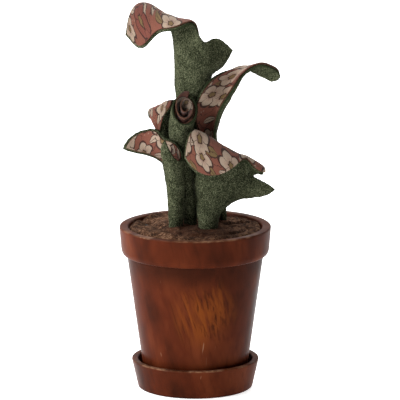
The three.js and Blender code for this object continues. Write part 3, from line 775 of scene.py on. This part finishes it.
def loose_fibres(name, place, out, height, count, length, thickness, material, seed):
    """Loose fibres of a fuzzy cloth. A fibre starts at a random point of the face, leaves it at a
    slant and bends over: P(t) = start + length (t lean + t^2 droop). It is a three-sided tube of
    two steps that ends in a point."""
    rng = np.random.default_rng(seed)
    columns = place.shape[1]
    cells = np.linalg.norm(np.cross(place[1:, :-1] - place[:-1, :-1],
                                    place[:-1, 1:] - place[:-1, :-1]), axis=-1).ravel()
    pick = rng.choice(len(cells), count, p=cells / cells.sum())
    i, j = pick // (columns - 1), pick % (columns - 1)
    a, b = rng.uniform(size=(2, count, 1))
    spot = (place[i, j] * (1 - a) * (1 - b) + place[i + 1, j] * a * (1 - b)
            + place[i, j + 1] * (1 - a) * b + place[i + 1, j + 1] * a * b)
    away = out[i, j]
    start = spot + away * height
    side = unit(np.cross(away, rng.normal(size=(count, 3))))
    lean = unit(away * rng.uniform(0.15, 0.9, (count, 1)) + side)
    droop = unit(np.cross(lean, rng.normal(size=(count, 3)))) * 0.45
    reach = length * rng.uniform(0.35, 1.0, (count, 1))
    wide = thickness * rng.uniform(0.6, 1.2, (count, 1))
    other = unit(np.cross(lean, side))
    tube = []
    for t, thick in ((0.0, 1.0), (0.5, 0.8)):
        middle = start + reach * (t * lean + t * t * droop)
        for turn in range(3):
            angle = turn * FULL_TURN / 3
            tube.append(middle + wide * thick * (side * math.cos(angle) + other * math.sin(angle)))
    tube.append(start + reach * (lean + droop))
    places = np.stack(tube, axis=1).reshape(-1, 3)
    first = (np.arange(count) * 7)[:, None, None]
    walls = first + np.array([[0, 1, 4, 3], [1, 2, 5, 4], [2, 0, 3, 5]])
    tips = first + np.array([[3, 4, 6], [4, 5, 6], [5, 3, 6], [0, 2, 1]])
    return make_piece(name, places, [walls.reshape(-1, 4), tips.reshape(-1, 3)], [material])


# ---- the six pitchers ------------------------------------------------------------------------
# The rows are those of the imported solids, in millimetres, above two rings round the foot, which is
# (x, y, radius). The seam is where those rings start and end, in degrees. The mouth is the number
# of rows below the lip, with the two rings.
SEAM_AT_BACK = (73, -253)
SEAM_AT_FRONT = (248, -68)
SEAM_AT_LEFT = (158, -168)

PITCHERS = {
    # Opens to the back. Its lip folds over to the left, and a lobe flares to the right.
    "tall": {"foot": (-0.8, 7.8, 2.5), "seam": SEAM_AT_BACK, "columns": 20, "mouth": 6,
             "lip_steps": 11, "rows": [
        ring(84, -1.8, 8.6, 2.9, 78, -258),
        ring(97, -2.8, 9.2, 3.4, 75, -255),
        ring(107, -2.2, 9.4, 4.5, 70, -250),
        ring(117, -1.0, 8.9, 5.9, 50, -240),
        ring(125, -0.9, 8.4, 6.5, 24, -232),
        curve([10.7, 9.5, 129.5], [9.2, 6.5, 131], [6.6, 3.6, 132.5], [3.2, 1.6, 133.2],
              [-0.2, 0.9, 133.5], [-3.6, 1.6, 134], [-6.2, 3.6, 134], [-7.4, 6.3, 134],
              [-7.6, 9, 133.5], [-7.2, 11.3, 132.5], [-6.2, 13.2, 131]),
        curve([12.5, 9.2, 132.5], [10.6, 6.6, 135], [7, 4, 137], [3.6, 1.8, 137],
              [1.2, 1.6, 138.3], [-2.6, 4.2, 141.8], [-6.4, 5, 142], [-8.2, 6.6, 143],
              [-8.8, 9, 144.5], [-9.6, 11.5, 145.5], [-10.2, 13.5, 146]),
        curve([13.6, 9.1, 134.5], [11.2, 6.6, 137.4], [7.4, 4, 139.8], [3.5, 1.9, 138.4],
              [1.2, 1.4, 141.2], [-1.8, 3.6, 147], [-7, 3.6, 149.5], [-10.8, 4.8, 150.8],
              [-14.5, 7.2, 152], [-18.5, 9.5, 153.4], [-22, 12, 154.6]),
        curve([14, 9, 135.4], [11.4, 6.6, 138.3], [7.3, 4, 140.8], [3.4, 1.9, 138.9],
              [1, 0.7, 143.8], [-1.6, -0.5, 149.3], [-8.6, -1.4, 148.4], [-14.5, 1, 148.5],
              [-18.5, 3.5, 149], [-22.6, 5.8, 150.2], [-26, 8.2, 150.8]),
        curve([14.3, 9, 136], [11.5, 6.5, 139], [7.1, 4, 141.8], [3.3, 1.9, 139.5],
              [0.9, -0.2, 145.9], [-1.9, -2.4, 149.4], [-8.5, -3.5, 146.3], [-14.3, -0.5, 145.7],
              [-18.7, 1, 140.5], [-22.9, 2.5, 138.2], [-27.5, 5, 143]),
    ]},
    # Opens to the front. Its long lip rises to the right, twists, and droops.
    "right": {"foot": (9.8, 4.2, 1.9), "seam": SEAM_AT_FRONT, "columns": 10, "mouth": 5,
              "lip_steps": 11, "rows": [
        ring(84, 8, 3.6, 2.3, 248, -68),
        ring(97, 5.4, 2.2, 2.7, 246, -66),
        curve([0.9, -0.2, 104], [1.1, 1.6, 104], [3, 3.3, 104], [5.8, 4, 104],
              [8, 2.6, 104.2], [7.7, -0.7, 104]),
        curve([-0.6, 0.7, 110.2], [1, 1.7, 110], [3.6, 2.6, 110], [6.8, 2.7, 110.2],
              [9.5, 1.2, 110.3], [8.3, -1.5, 110]),
        curve([2.7, 0.6, 120], [4.7, 1.7, 119], [7.6, 2.8, 117.2], [10.6, 3, 116.3],
              [12.4, 1.3, 116.2], [11.1, -1.3, 116.6]),
        curve([7.5, 2.9, 125.6], [9.4, 4.8, 124.3], [12, 5.9, 122.5], [14.3, 5, 121],
              [15.2, 2.5, 120.2], [14.3, -0.4, 120.8]),
        curve([14.6, 6.9, 128.1], [15.4, 6.3, 127.5], [16.3, 5.7, 126.8], [17.2, 4.7, 126],
              [17.8, 2.8, 125.7], [17.6, 0.5, 126.1]),
        curve([19.9, 7.4, 129.5], [20.3, 6.5, 129.3], [20.6, 5.2, 129.5], [20.9, 3.8, 129.4],
              [20.9, 2.4, 129.1], [20.6, 1, 128.8]),
        curve([25.6, 5.9, 126.3], [25.9, 4.7, 128], [26.2, 3.7, 129.6], [26.4, 2.6, 130.8],
              [26.5, 1.5, 131.5], [26.4, 0.5, 131.8]),
        curve([30.5, 4.4, 124.2], [32, 3.9, 124.7], [33.2, 3.2, 125.6], [33.7, 2.4, 126.9],
              [33.2, 1.7, 128.5], [31.9, 1, 129.8]),
    ]},
    # A short tube with a slanted round mouth that faces the front.
    "centre": {"foot": (-2, -3.6, 1.6), "seam": SEAM_AT_BACK, "columns": 12, "mouth": 4,
               "lip_steps": 6, "rows": [
        ring(84, -3, -3.4, 1.7, *SEAM_AT_BACK),
        ring(95, -5.2, -2.8, 2.3, *SEAM_AT_BACK),
        ring(103, -6, -3, 3.4, *SEAM_AT_BACK, 3.2),
        ring(108, -5.5, -3.7, 4, *SEAM_AT_BACK, 3.9, 0.35),
        ring(112, -4.7, -4.2, 4.1, *SEAM_AT_BACK, 4, 0.85),
        ring(114.2, -4.1, -4.6, 4.2, *SEAM_AT_BACK, 4.1, 1.2),
    ]},
    # Stands behind the small one, and its lip folds over to the left.
    "back": {"foot": (-8, 3.8, 1.6), "seam": SEAM_AT_BACK, "columns": 16, "mouth": 4,
             "lip_steps": 12, "rows": [
        ring(84, -9, 4, 1.9, *SEAM_AT_BACK),
        ring(96, -11.2, 4.3, 2.2, 78, -258),
        ring(103, -12.2, 4.1, 2.5, 60, -250),
        curve([-9.8, 5.2, 110.2], [-9.8, 3.4, 110.2], [-10.6, 1.8, 110], [-12.4, 1.2, 109.8],
              [-14.2, 1.8, 109.6], [-15, 3.4, 109.8], [-14.4, 5.2, 110]),
        curve([-9.6, 5, 113.6], [-9.6, 3.6, 114.2], [-10, 2.3, 114.8], [-11.8, 1.5, 115.1],
              [-14.1, 1.5, 114.2], [-16.3, 2.3, 113.3], [-18.2, 3.9, 112]),
        curve([-9.5, 4.9, 114.6], [-9.3, 2.7, 115.6], [-10, 0.9, 116.5], [-12.2, 0.2, 116.1],
              [-14.7, 0.4, 114.6], [-17, 1, 113.2], [-18.8, 2.7, 112.5]),
        curve([-9.4, 4.6, 115.4], [-8.9, 1.6, 116.6], [-9.7, -0.9, 116.2], [-12.6, -2, 113.6],
              [-14.7, -1.8, 110.2], [-16.8, -1.2, 109.9], [-18.7, 1, 111.6]),
        curve([-9.3, 4.4, 116], [-8.7, 0.7, 117.1], [-9.6, -2, 114.8], [-12.9, -2.8, 110],
              [-14.3, -2.3, 103], [-16, -2.1, 106.6], [-18.4, 0.2, 110.6]),
    ]},
    # Opens up beside its tube into a wide lip that reaches to the left.
    "small": {"foot": (-7.7, -7.6, 1.8), "seam": SEAM_AT_LEFT, "columns": 18, "mouth": 3,
              "lip_steps": 8, "rows": [
        ring(80, -7.6, -7.9, 2.2, *SEAM_AT_LEFT),
        ring(88, -8.1, -8.7, 2.5, *SEAM_AT_LEFT, 2.2),
        curve([-12, -8.2, 92.6], [-11.8, -7.6, 93.2], [-11.2, -7.2, 93.8], [-10.2, -7, 94.1],
              [-8.8, -7, 94.3], [-6.8, -7.6, 94.3], [-5.6, -9.6, 94.2], [-6.6, -11.6, 93.5],
              [-9.4, -12.2, 93], [-11.6, -10.6, 93]),
        curve([-18.2, -6.5, 96.2], [-16.8, -5.4, 97.8], [-15, -5.8, 99], [-13.2, -6.6, 99.3],
              [-11.2, -7.4, 98.5], [-8.4, -8, 98.6], [-6, -9.5, 97], [-6, -11.5, 94.5],
              [-9.4, -12.7, 94], [-12.8, -11, 97]),
        curve([-25, -5.5, 97.4], [-22.5, -3.8, 100.3], [-19.5, -3.8, 102.6], [-16, -4.8, 103.2],
              [-13.2, -6.8, 101.6], [-9.6, -8.2, 101.3], [-6.4, -9.2, 98.6], [-5.6, -11.4, 95],
              [-9, -12.9, 95.4], [-13, -11.1, 100.6]),
        curve([-28.2, -5.5, 98.7], [-25.8, -3.8, 102.4], [-20.3, -2.8, 105.2], [-15, -4.5, 105.6],
              [-13.2, -6.8, 102.8], [-10, -8.2, 102.5], [-6.3, -9, 99.4], [-5.5, -11.4, 95.3],
              [-8.6, -13, 96.2], [-11.8, -11.4, 102.6]),
    ]},
    # Opens to the back. Its lip folds forward over a ridge that slopes to the right and ends in
    # a narrow tongue, and a pointed lobe reaches to the right below it.
    "front": {"foot": (5.2, -7.4, 3.1), "seam": SEAM_AT_BACK, "columns": 22, "mouth": 4,
              "lip_steps": 12, "rows": [
        ring(70.5, 5.3, -7.3, 3.2, 50, -253),
        ring(75, 6.1, -5.7, 4.7, 12, -250, 4.2),
        curve([17.5, -2, 77.6], [16.6, -3, 78.3], [15.6, -3.8, 78.8], [14.4, -4.8, 79],
              [13, -5.8, 79], [11.6, -6.8, 79], [10, -7.7, 79], [8.2, -8.4, 79],
              [6.2, -8.7, 79], [4, -8.5, 79], [2, -7.3, 79], [1, -5, 79], [2.2, -2, 79]),
        curve([28.5, -2.5, 79.4], [25.5, -3.2, 81.3], [22.8, -3.8, 83], [20.6, -4.4, 84],
              [19.4, -5, 84.2], [18, -5.8, 84.3], [16.2, -6.6, 84.4], [14, -7.6, 84.5],
              [11, -8.7, 84.7], [7, -9.4, 85], [3, -8.8, 85.3], [1, -5.8, 85.6], [2.4, -2.6, 86]),
        curve([30.6, -2.5, 80.8], [27.4, -2.8, 83], [23.8, -3.2, 85], [21.4, -3.4, 85.9],
              [21.4, -3.4, 87.8], [22.2, -3.1, 89.1], [20.8, -3.5, 90.1], [18.4, -5, 90.5],
              [15.6, -7, 91.6], [11.2, -8.2, 93.2], [6, -8.6, 95.2], [1.8, -7.2, 96.8],
              [1.8, -5, 97.5]),
        curve([31.1, -2.5, 81.2], [28.1, -2.8, 83.5], [24.3, -3.2, 85.5], [22.2, -3.2, 86.5],
              [23.2, -3, 88.6], [25.6, -3.1, 90], [24.4, -3.9, 91.8], [22, -4.9, 93.6],
              [19.3, -6, 95], [14.6, -7, 98.1], [9.2, -7.8, 101.8], [4, -8.2, 105.5],
              [-0.1, -9, 107.2]),
        curve([31.2, -2.5, 81.3], [28.2, -2.8, 83.7], [24.4, -3.2, 85.7], [22.6, -3.1, 86.8],
              [24.3, -3, 88.6], [27.4, -4.8, 90.2], [25.4, -6.3, 92.2], [22.4, -7.2, 94],
              [19.4, -8.3, 95.9], [14.8, -10.8, 97.2], [7.6, -12.4, 99], [1.2, -12.4, 102],
              [-2.6, -11.6, 105.4]),
        curve([31.3, -2.5, 81.4], [28.3, -2.8, 83.8], [24.5, -3.2, 85.8], [22.9, -3.1, 87],
              [25.2, -3.1, 88.4], [27.8, -6, 88.6], [24.6, -8, 89.6], [21.7, -8.6, 93],
              [19, -9.6, 95], [14.9, -12.6, 91.6], [6.7, -14.2, 88.7], [-0.5, -14.2, 91.7],
              [-4.1, -13.2, 96.9]),
    ]},
}


def rolled_scrap():
    """The end of the centre lining, rolled up in its slanted mouth. At v the roll's angle is
    a = 72 + 610 v degrees and its radius r = (3.1 - 2.3 v) (1 + 0.45 s^2), where s grows from 0 a
    millimetre below the mouth to 1 at the proud edge. At height t above the mouth the point is
    c + t (0.27, -0.15, 1) + r (cos a, sin a, 1.2 sin a)."""
    v, t = np.linspace(0, 1, 130), np.linspace(-4.5, 1.3, 16)[:, None]
    angle = np.radians(72 + 610 * v)
    flare = np.clip((t + 1.0) / 2.3, 0, 1)
    radius = (3.1 - 2.3 * v) * (1 + 0.45 * flare ** 2)
    middle = np.array([-4.1, -4.6, 114.2]) + t[..., None] * np.array([0.27, -0.15, 1.0])
    roll = np.stack([np.cos(angle), np.sin(angle), 1.2 * np.sin(angle)], axis=-1)
    place = middle + radius[..., None] * roll
    out = unit(np.cross(beside(place, 0, 1) - beside(place, 0, -1),
                        beside(place, 1, 0) - beside(place, -1, 0)))
    return place, out


# ---- the soil --------------------------------------------------------------------------------
def soil_top(x, y):
    """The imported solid's top: a dome, a roll along the left and front of the wall with a crease
    inside it, and shallow lumps."""
    radius, angle = np.hypot(x, y), np.arctan2(y, x)
    dome = (SOIL_CROWN - SOIL_EDGE) * (1 - (radius / SOIL_RADIUS) ** 2)
    left_front = 0.5 + 0.5 * np.cos(angle - ROLL_SIDE)
    roll = ROLL_HEIGHT * left_front * np.exp(-(((radius - ROLL_RADIUS) / ROLL_WIDTH) ** 2))
    crease = FOLD_DEPTH * left_front * np.exp(-(((radius - FOLD_RADIUS) / FOLD_WIDTH) ** 2))
    lumps = (radius / SOIL_RADIUS) * (0.3 * np.sin(3 * angle + 1) + 0.22 * np.cos(5 * angle - 0.7))
    return SOIL_EDGE + dome + roll - crease + lumps


def groove(x, y, start, end, width, depth):
    """A crease along a straight line, shallower at its ends: with d the distance from the line and
    s the share of the way along it, depth exp(-(d / width)^2) (0.35 + 0.65 sqrt(sin(pi s)))."""
    start, end = np.array(start, float), np.array(end, float)
    line = end - start
    share = np.clip(((x - start[0]) * line[0] + (y - start[1]) * line[1]) / (line @ line), 0, 1)
    distance = np.hypot(x - start[0] - share * line[0], y - start[1] - share * line[1])
    return depth * np.exp(-((distance / width) ** 2)) * (0.35 + 0.65 * np.sin(math.pi * share) ** 0.5)


# Each crease of the soil cloth: its start and end, its width and its depth.
CREASES = [
    ((-22.5, 15), (-17, 4), 2.4, 2.2), ((-19, 6), (-9, -17), 1.3, 1.3),
    ((11, -2), (23, 6), 0.9, 1.2), ((13, 8), (22, 13), 1.0, 1.2),
    ((12, -16), (22, -6), 1.0, 1.0), ((-6, 16), (8, 21), 1.1, 1.2),
]
# Each size of wrinkle: its height, its width and its seed.
WRINKLES = [(0.45, 6.0, 11), (0.3, 2.6, 12), (0.17, 1.1, 13)]


def soil_surface(x, y):
    """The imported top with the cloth's own creases, wrinkles of three sizes, and a small collar
    round each stem."""
    z = soil_top(x, y)
    for crease in CREASES:
        z -= groove(x, y, *crease)
    for height, width, seed in WRINKLES:
        z += height * smooth_noise(x, y, width, seed)
    for pitcher in PITCHERS.values():
        fx, fy, radius = pitcher["foot"]
        gap = np.hypot(x - fx, y - fy) - radius - COLLAR_GAP
        z += COLLAR_HEIGHT * np.exp(-((np.maximum(gap, 0) / COLLAR_WIDTH) ** 2))
    return z


def soil_mesh(name, look):
    """P(r, a) = (r cos a, r sin a, z(x, y)) on rings of radius r, and below it the same surface
    lowered by the cloth's thickness. The wavy outer edge stands clear of the pot's wall."""
    rings, sides = math.ceil(SOIL_RADIUS / SOIL_CELL), SOIL_SIDES
    here, after = once_round(sides)
    angle = here * FULL_TURN / sides
    radius = np.linspace(0, 1, rings + 1)[1:, None]
    edge = SOIL_RADIUS - 0.15 * np.sin(7 * angle + 2) - 0.12 * np.sin(12 * angle)
    x, y = radius * edge * np.cos(angle), radius * edge * np.sin(angle)
    z = soil_surface(x, y)
    shoulder = SHOULDER_DROP * np.clip((radius - SHOULDER_START) / (1 - SHOULDER_START), 0, 1) ** 2
    top = np.stack([x, y, z - shoulder], axis=-1)
    under = np.stack([x, y, z - SOIL_THICKNESS + 0.4 * shoulder], axis=-1)
    centre = soil_surface(np.zeros(1), np.zeros(1))[0]
    places = np.concatenate([top.reshape(-1, 3), under.reshape(-1, 3),
                             [[0, 0, centre], [0, 0, centre - SOIL_THICKNESS]]])
    size = rings * sides
    last = size - sides
    faces = [
        lattice_faces(rings, sides, closed=True)[:, ::-1],
        lattice_faces(rings, sides, first=size, closed=True),
        np.stack([last + here, size + last + here, size + last + after, last + after], axis=-1),
        np.stack([np.full(sides, 2 * size), here, after], axis=-1),
        np.stack([np.full(sides, 2 * size + 1), size + after, size + here], axis=-1),
    ]
    piece = make_piece(name, places, faces, [soil_wool(name, look)])
    grid = np.stack([x, y, z], axis=-1)
    return piece, grid


def drill_for_stems(piece):
    """Cuts a plain round hole for each stem, a little wider than its felt."""
    here, after = once_round(DRILL_SIDES)
    angle = here * FULL_TURN / DRILL_SIDES
    faces = [*np.stack([here, after, after + DRILL_SIDES, here + DRILL_SIDES], axis=-1).tolist(),
             here[::-1].tolist(), (here + DRILL_SIDES).tolist()]
    for pitcher in PITCHERS.values():
        x, y, radius = pitcher["foot"]
        wide = radius + CLEARANCE / 2 + FELT_THICKNESS + DRILL_MARGIN
        ends = [np.stack([x + wide * np.cos(angle), y + wide * np.sin(angle), 0 * angle + z], axis=-1)
                for z in (DRILL_BOTTOM, DRILL_TOP)]
        mesh = bpy.data.meshes.new("drill")
        mesh.from_pydata((np.concatenate(ends) * MM).tolist(), [], faces)
        drill = into_scene("drill", mesh)
        cut = piece.modifiers.new("hole", "BOOLEAN")
        cut.operation = "DIFFERENCE"
        cut.solver = "MANIFOLD"
        cut.object = drill
        evaluated = piece.evaluated_get(bpy.context.evaluated_depsgraph_get())
        cut_mesh = bpy.data.meshes.new_from_object(evaluated)
        piece.modifiers.clear()
        piece.data = cut_mesh
        bpy.data.objects.remove(drill)
    if len(piece.data.polygons) < 1000:
        raise RuntimeError("the stem holes couldn't be cut in the soil")


# ---- the stage -------------------------------------------------------------------------------
def studio_world(look):
    """Even white surroundings that are bright behind, above and to the left of the object and dim
    in front and to the right: each side's share grows smoothly with the direction. The camera
    itself sees plain white there."""
    world = bpy.data.worlds.new("studio")
    world.use_nodes = True
    n = Nodes(world.node_tree)
    x, y, _ = n.parts(n.give("Generated", "ShaderNodeTexCoord"))
    lit = n.span(y, -0.1, 0.9, 0.0, look.back) + n.span(x, 0.1, -0.9, 0.0, look.left) + look.fill
    seen = n.give("Is Camera Ray", "ShaderNodeLightPath")
    background = n.tree.nodes["Background"]
    background.inputs["Color"].default_value = WHITE
    connect(n.span(seen, 0.0, 1.0, lit, 1.0), background.inputs["Strength"])
    return world


# ---- operators -------------------------------------------------------------------------------
class PITCHER_PLANT_OT_saucer(bpy.types.Operator):
    """Turn the wooden saucer"""
    bl_idname = "pitcher_plant.saucer"
    bl_label = "Saucer"

    def execute(self, context):
        look = context.scene.pitcher_wood
        turned_piece("turned_saucer", SAUCER_OUTLINE, look.sides,
                     stained_wood("saucer_wood", look, SAUCER_TOP), "saucer")
        return {"FINISHED"}


class PITCHER_PLANT_OT_pot(bpy.types.Operator):
    """Turn the wooden pot with its rim band"""
    bl_idname = "pitcher_plant.pot"
    bl_label = "Pot"

    def execute(self, context):
        look = context.scene.pitcher_wood
        turned_piece("turned_pot", POT_OUTLINE, look.sides,
                     stained_wood("pot_wood", look, POT_TOP), "pot")
        return {"FINISHED"}


class PITCHER_PLANT_OT_soil(bpy.types.Operator):
    """Lay the brown cloth soil over the foam filling"""
    bl_idname = "pitcher_plant.soil"
    bl_label = "Soil"

    def execute(self, context):
        foam = cut_foam("cut_foam")
        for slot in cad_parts["filling"].material_slots:
            slot.material = foam
        look = context.scene.pitcher_soil
        piece, grid = soil_mesh("soil_wool_cloth", look)
        area = sheet_area(np.concatenate([grid, grid[:, :1]], axis=1)) * MM * MM
        drill_for_stems(piece)
        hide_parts("soil")
        out = np.zeros_like(grid) + [0.0, 0.0, 1.0]
        fuzz = loose_fibres("soil_wool_fuzz", grid, out, 0.0, SOIL_FIBRES, SOIL_FIBRE_LENGTH,
                            SOIL_FIBRE_RADIUS, wool_felt("soil_fuzz", look.deep, look.middle, look.pale),
                            SOIL_FUZZ_SEED)
        return {"FINISHED"}


class PITCHER_PLANT_OT_pitchers(bpy.types.Operator):
    """Roll and fold the six pitchers, each of felt with a printed lining"""
    bl_idname = "pitcher_plant.pitchers"
    bl_label = "Pitchers"

    def execute(self, context):
        wool, dye = context.scene.pitcher_felt, context.scene.pitcher_print
        felt = wool_felt("green_felt", wool.deep, wool.middle, wool.pale)
        felt_cut = wool_felt("felt_cut_edge", [0.5 * part for part in wool.cut], wool.cut, wool.middle)
        cotton_cut = wool_felt("cotton_cut_edge", [0.5 * part for part in dye.edge], dye.edge,
                               [2.2 * part for part in dye.edge], 0.0001)
        half = CLEARANCE / 2
        face = half + FELT_THICKNESS
        for number, (name, pitcher) in enumerate(PITCHERS.items()):
            place, out = fine_sheet(pitcher, wool.cell / MM)
            outer, cloth = cloth_layer(f"{name}_felt", trimmed(place, FELT_TRIM), out, half, face,
                                       [felt, felt_cut], FELT_ROUGHNESS, number)
            cotton = floral_print(f"{name}_print", dye, (37.0 * number + 5.0, 23.0 * number, 0.0))
            inner, _ = cloth_layer(f"{name}_lining", trimmed(place, LINING_TRIM), out,
                                   -half - LINING_THICKNESS, -half, [cotton, cotton_cut],
                                   seed=number + LINING_SEED)
            area = sheet_area(place)
            fuzz = loose_fibres(f"{name}_felt_fuzz", place, out, face,
                                round(wool.fuzz_count * area / 100), wool.fuzz_length / MM,
                                FELT_FIBRE_RADIUS, felt, number + FUZZ_SEED)
            if name == "centre":
                rolled, away = rolled_scrap()
                # The scrap's print is darkened to 0.42 of its colour: painted shade deep inside the
                # roll.
                dark_print = floral_print("scrap_print", dye, (11.0, 7.0, 0.0), 0.42)
                scrap, _ = cloth_layer("pitcher_centre_scrap", rolled, away, -SCRAP_THICKNESS / 2,
                                       SCRAP_THICKNESS / 2, [dark_print, cotton_cut],
                                       seed=SCRAP_SEED)
            # the narrow stem and wide lip leave a cut far smaller than its box, so the box's
            # width is taken in where the cut fills less than the least share of it
            wide, long = np.ptp(cloth[..., 0], axis=1).max(), cloth[-1, :, 1].max()
            flat = (min(wide, area / (LEAST_FILL * long)) * MM, long * MM)
            area *= MM * MM
            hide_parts(f"pitcher_{name}_felt")
            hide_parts(f"pitcher_{name}_lining")
        return {"FINISHED"}


class PITCHER_PLANT_OT_stage(bpy.types.Operator):
    """Set up the floor, the soft light and the camera"""
    bl_idname = "pitcher_plant.stage"
    bl_label = "Stage"

    def execute(self, context):
        look = context.scene.pitcher_stage
        floor = bpy.data.meshes.new("floor")
        floor.from_pydata([(x * FLOOR_REACH, y * FLOOR_REACH, FLOOR_HEIGHT)
                           for x, y in ((-1, -1), (1, -1), (1, 1), (-1, 1))], [], [(0, 1, 2, 3)])
        paper = Finish("floor_paper", Roughness=0.9, Specular_IOR_Level=0.1, Emission_Strength=0.8,
                       Emission_Color=WHITE)
        cloud = paper.noise(paper.place(), 2.0)
        floor.materials.append(paper.finish(paper.ramp(cloud, (0.3, (0.93,) * 3), (0.7, (0.95,) * 3))))
        into_scene("floor", floor)
        context.scene.world = studio_world(look)

        for name, spot, size, share in LAMPS:
            lamp = bpy.data.lights.new(name, "AREA")
            lamp.shape = "SQUARE"
            lamp.size = size
            lamp.energy = look.key * share
            light = into_scene(name, lamp)
            light.location = spot
            light.rotation_euler = (VIEW_MIDDLE - spot).to_track_quat("-Z", "Y").to_euler()

        camera = into_scene("camera", bpy.data.cameras.new("camera"))
        camera.data.sensor_width = 36.0
        camera.data.lens = look.lens
        back = Vector((0.0, -math.cos(look.camera_height), math.sin(look.camera_height)))
        camera.location = VIEW_MIDDLE + back * look.camera_distance
        camera.rotation_euler = back.to_track_quat("Z", "Y").to_euler()
        camera.data.clip_end = 20.0
        context.scene.camera = camera
        context.scene.view_settings.view_transform = "Standard"
        return {"FINISHED"}


class PITCHER_PLANT_PT_panel(bpy.types.Panel):
    """Lists the pieces and their settings"""
    bl_label = "Pitcher Plant"
    bl_idname = "PITCHER_PLANT_PT_panel"
    bl_space_type = "VIEW_3D"
    bl_region_type = "UI"
    bl_category = "Pitcher Plant"

    def draw(self, context):
        for operator, settings in STEPS:
            box = self.layout.box()
            box.operator(operator.bl_idname)
            for name in settings:
                group = getattr(context.scene, name)
                for key in group.__annotations__:
                    box.prop(group, key)


# Each operator, and the settings that it uses.
STEPS = [
    (PITCHER_PLANT_OT_stage, ["pitcher_stage"]),
    (PITCHER_PLANT_OT_saucer, ["pitcher_wood"]),
    (PITCHER_PLANT_OT_pot, ["pitcher_wood"]),
    (PITCHER_PLANT_OT_soil, ["pitcher_soil"]),
    (PITCHER_PLANT_OT_pitchers, ["pitcher_felt", "pitcher_print"]),
]
SETTINGS = {
    "pitcher_wood": WoodSettings,
    "pitcher_felt": FeltSettings,
    "pitcher_print": PrintSettings,
    "pitcher_soil": SoilSettings,
    "pitcher_stage": StageSettings,
}
CLASSES = [*SETTINGS.values(), *[operator for operator, _ in STEPS], PITCHER_PLANT_PT_panel]


def register():
    for each in CLASSES:
        bpy.utils.register_class(each)
    for name, group in SETTINGS.items():
        setattr(bpy.types.Scene, name, PointerProperty(type=group))


def unregister():
    for name in SETTINGS:
        delattr(bpy.types.Scene, name)
    for each in reversed(CLASSES):
        bpy.utils.unregister_class(each)


def main():
    register()
    bpy.ops.pitcher_plant.stage()
    bpy.ops.pitcher_plant.saucer()
    bpy.ops.pitcher_plant.pot()
    bpy.ops.pitcher_plant.soil()
    bpy.ops.pitcher_plant.pitchers()


if __name__ == "__main__":
    main()
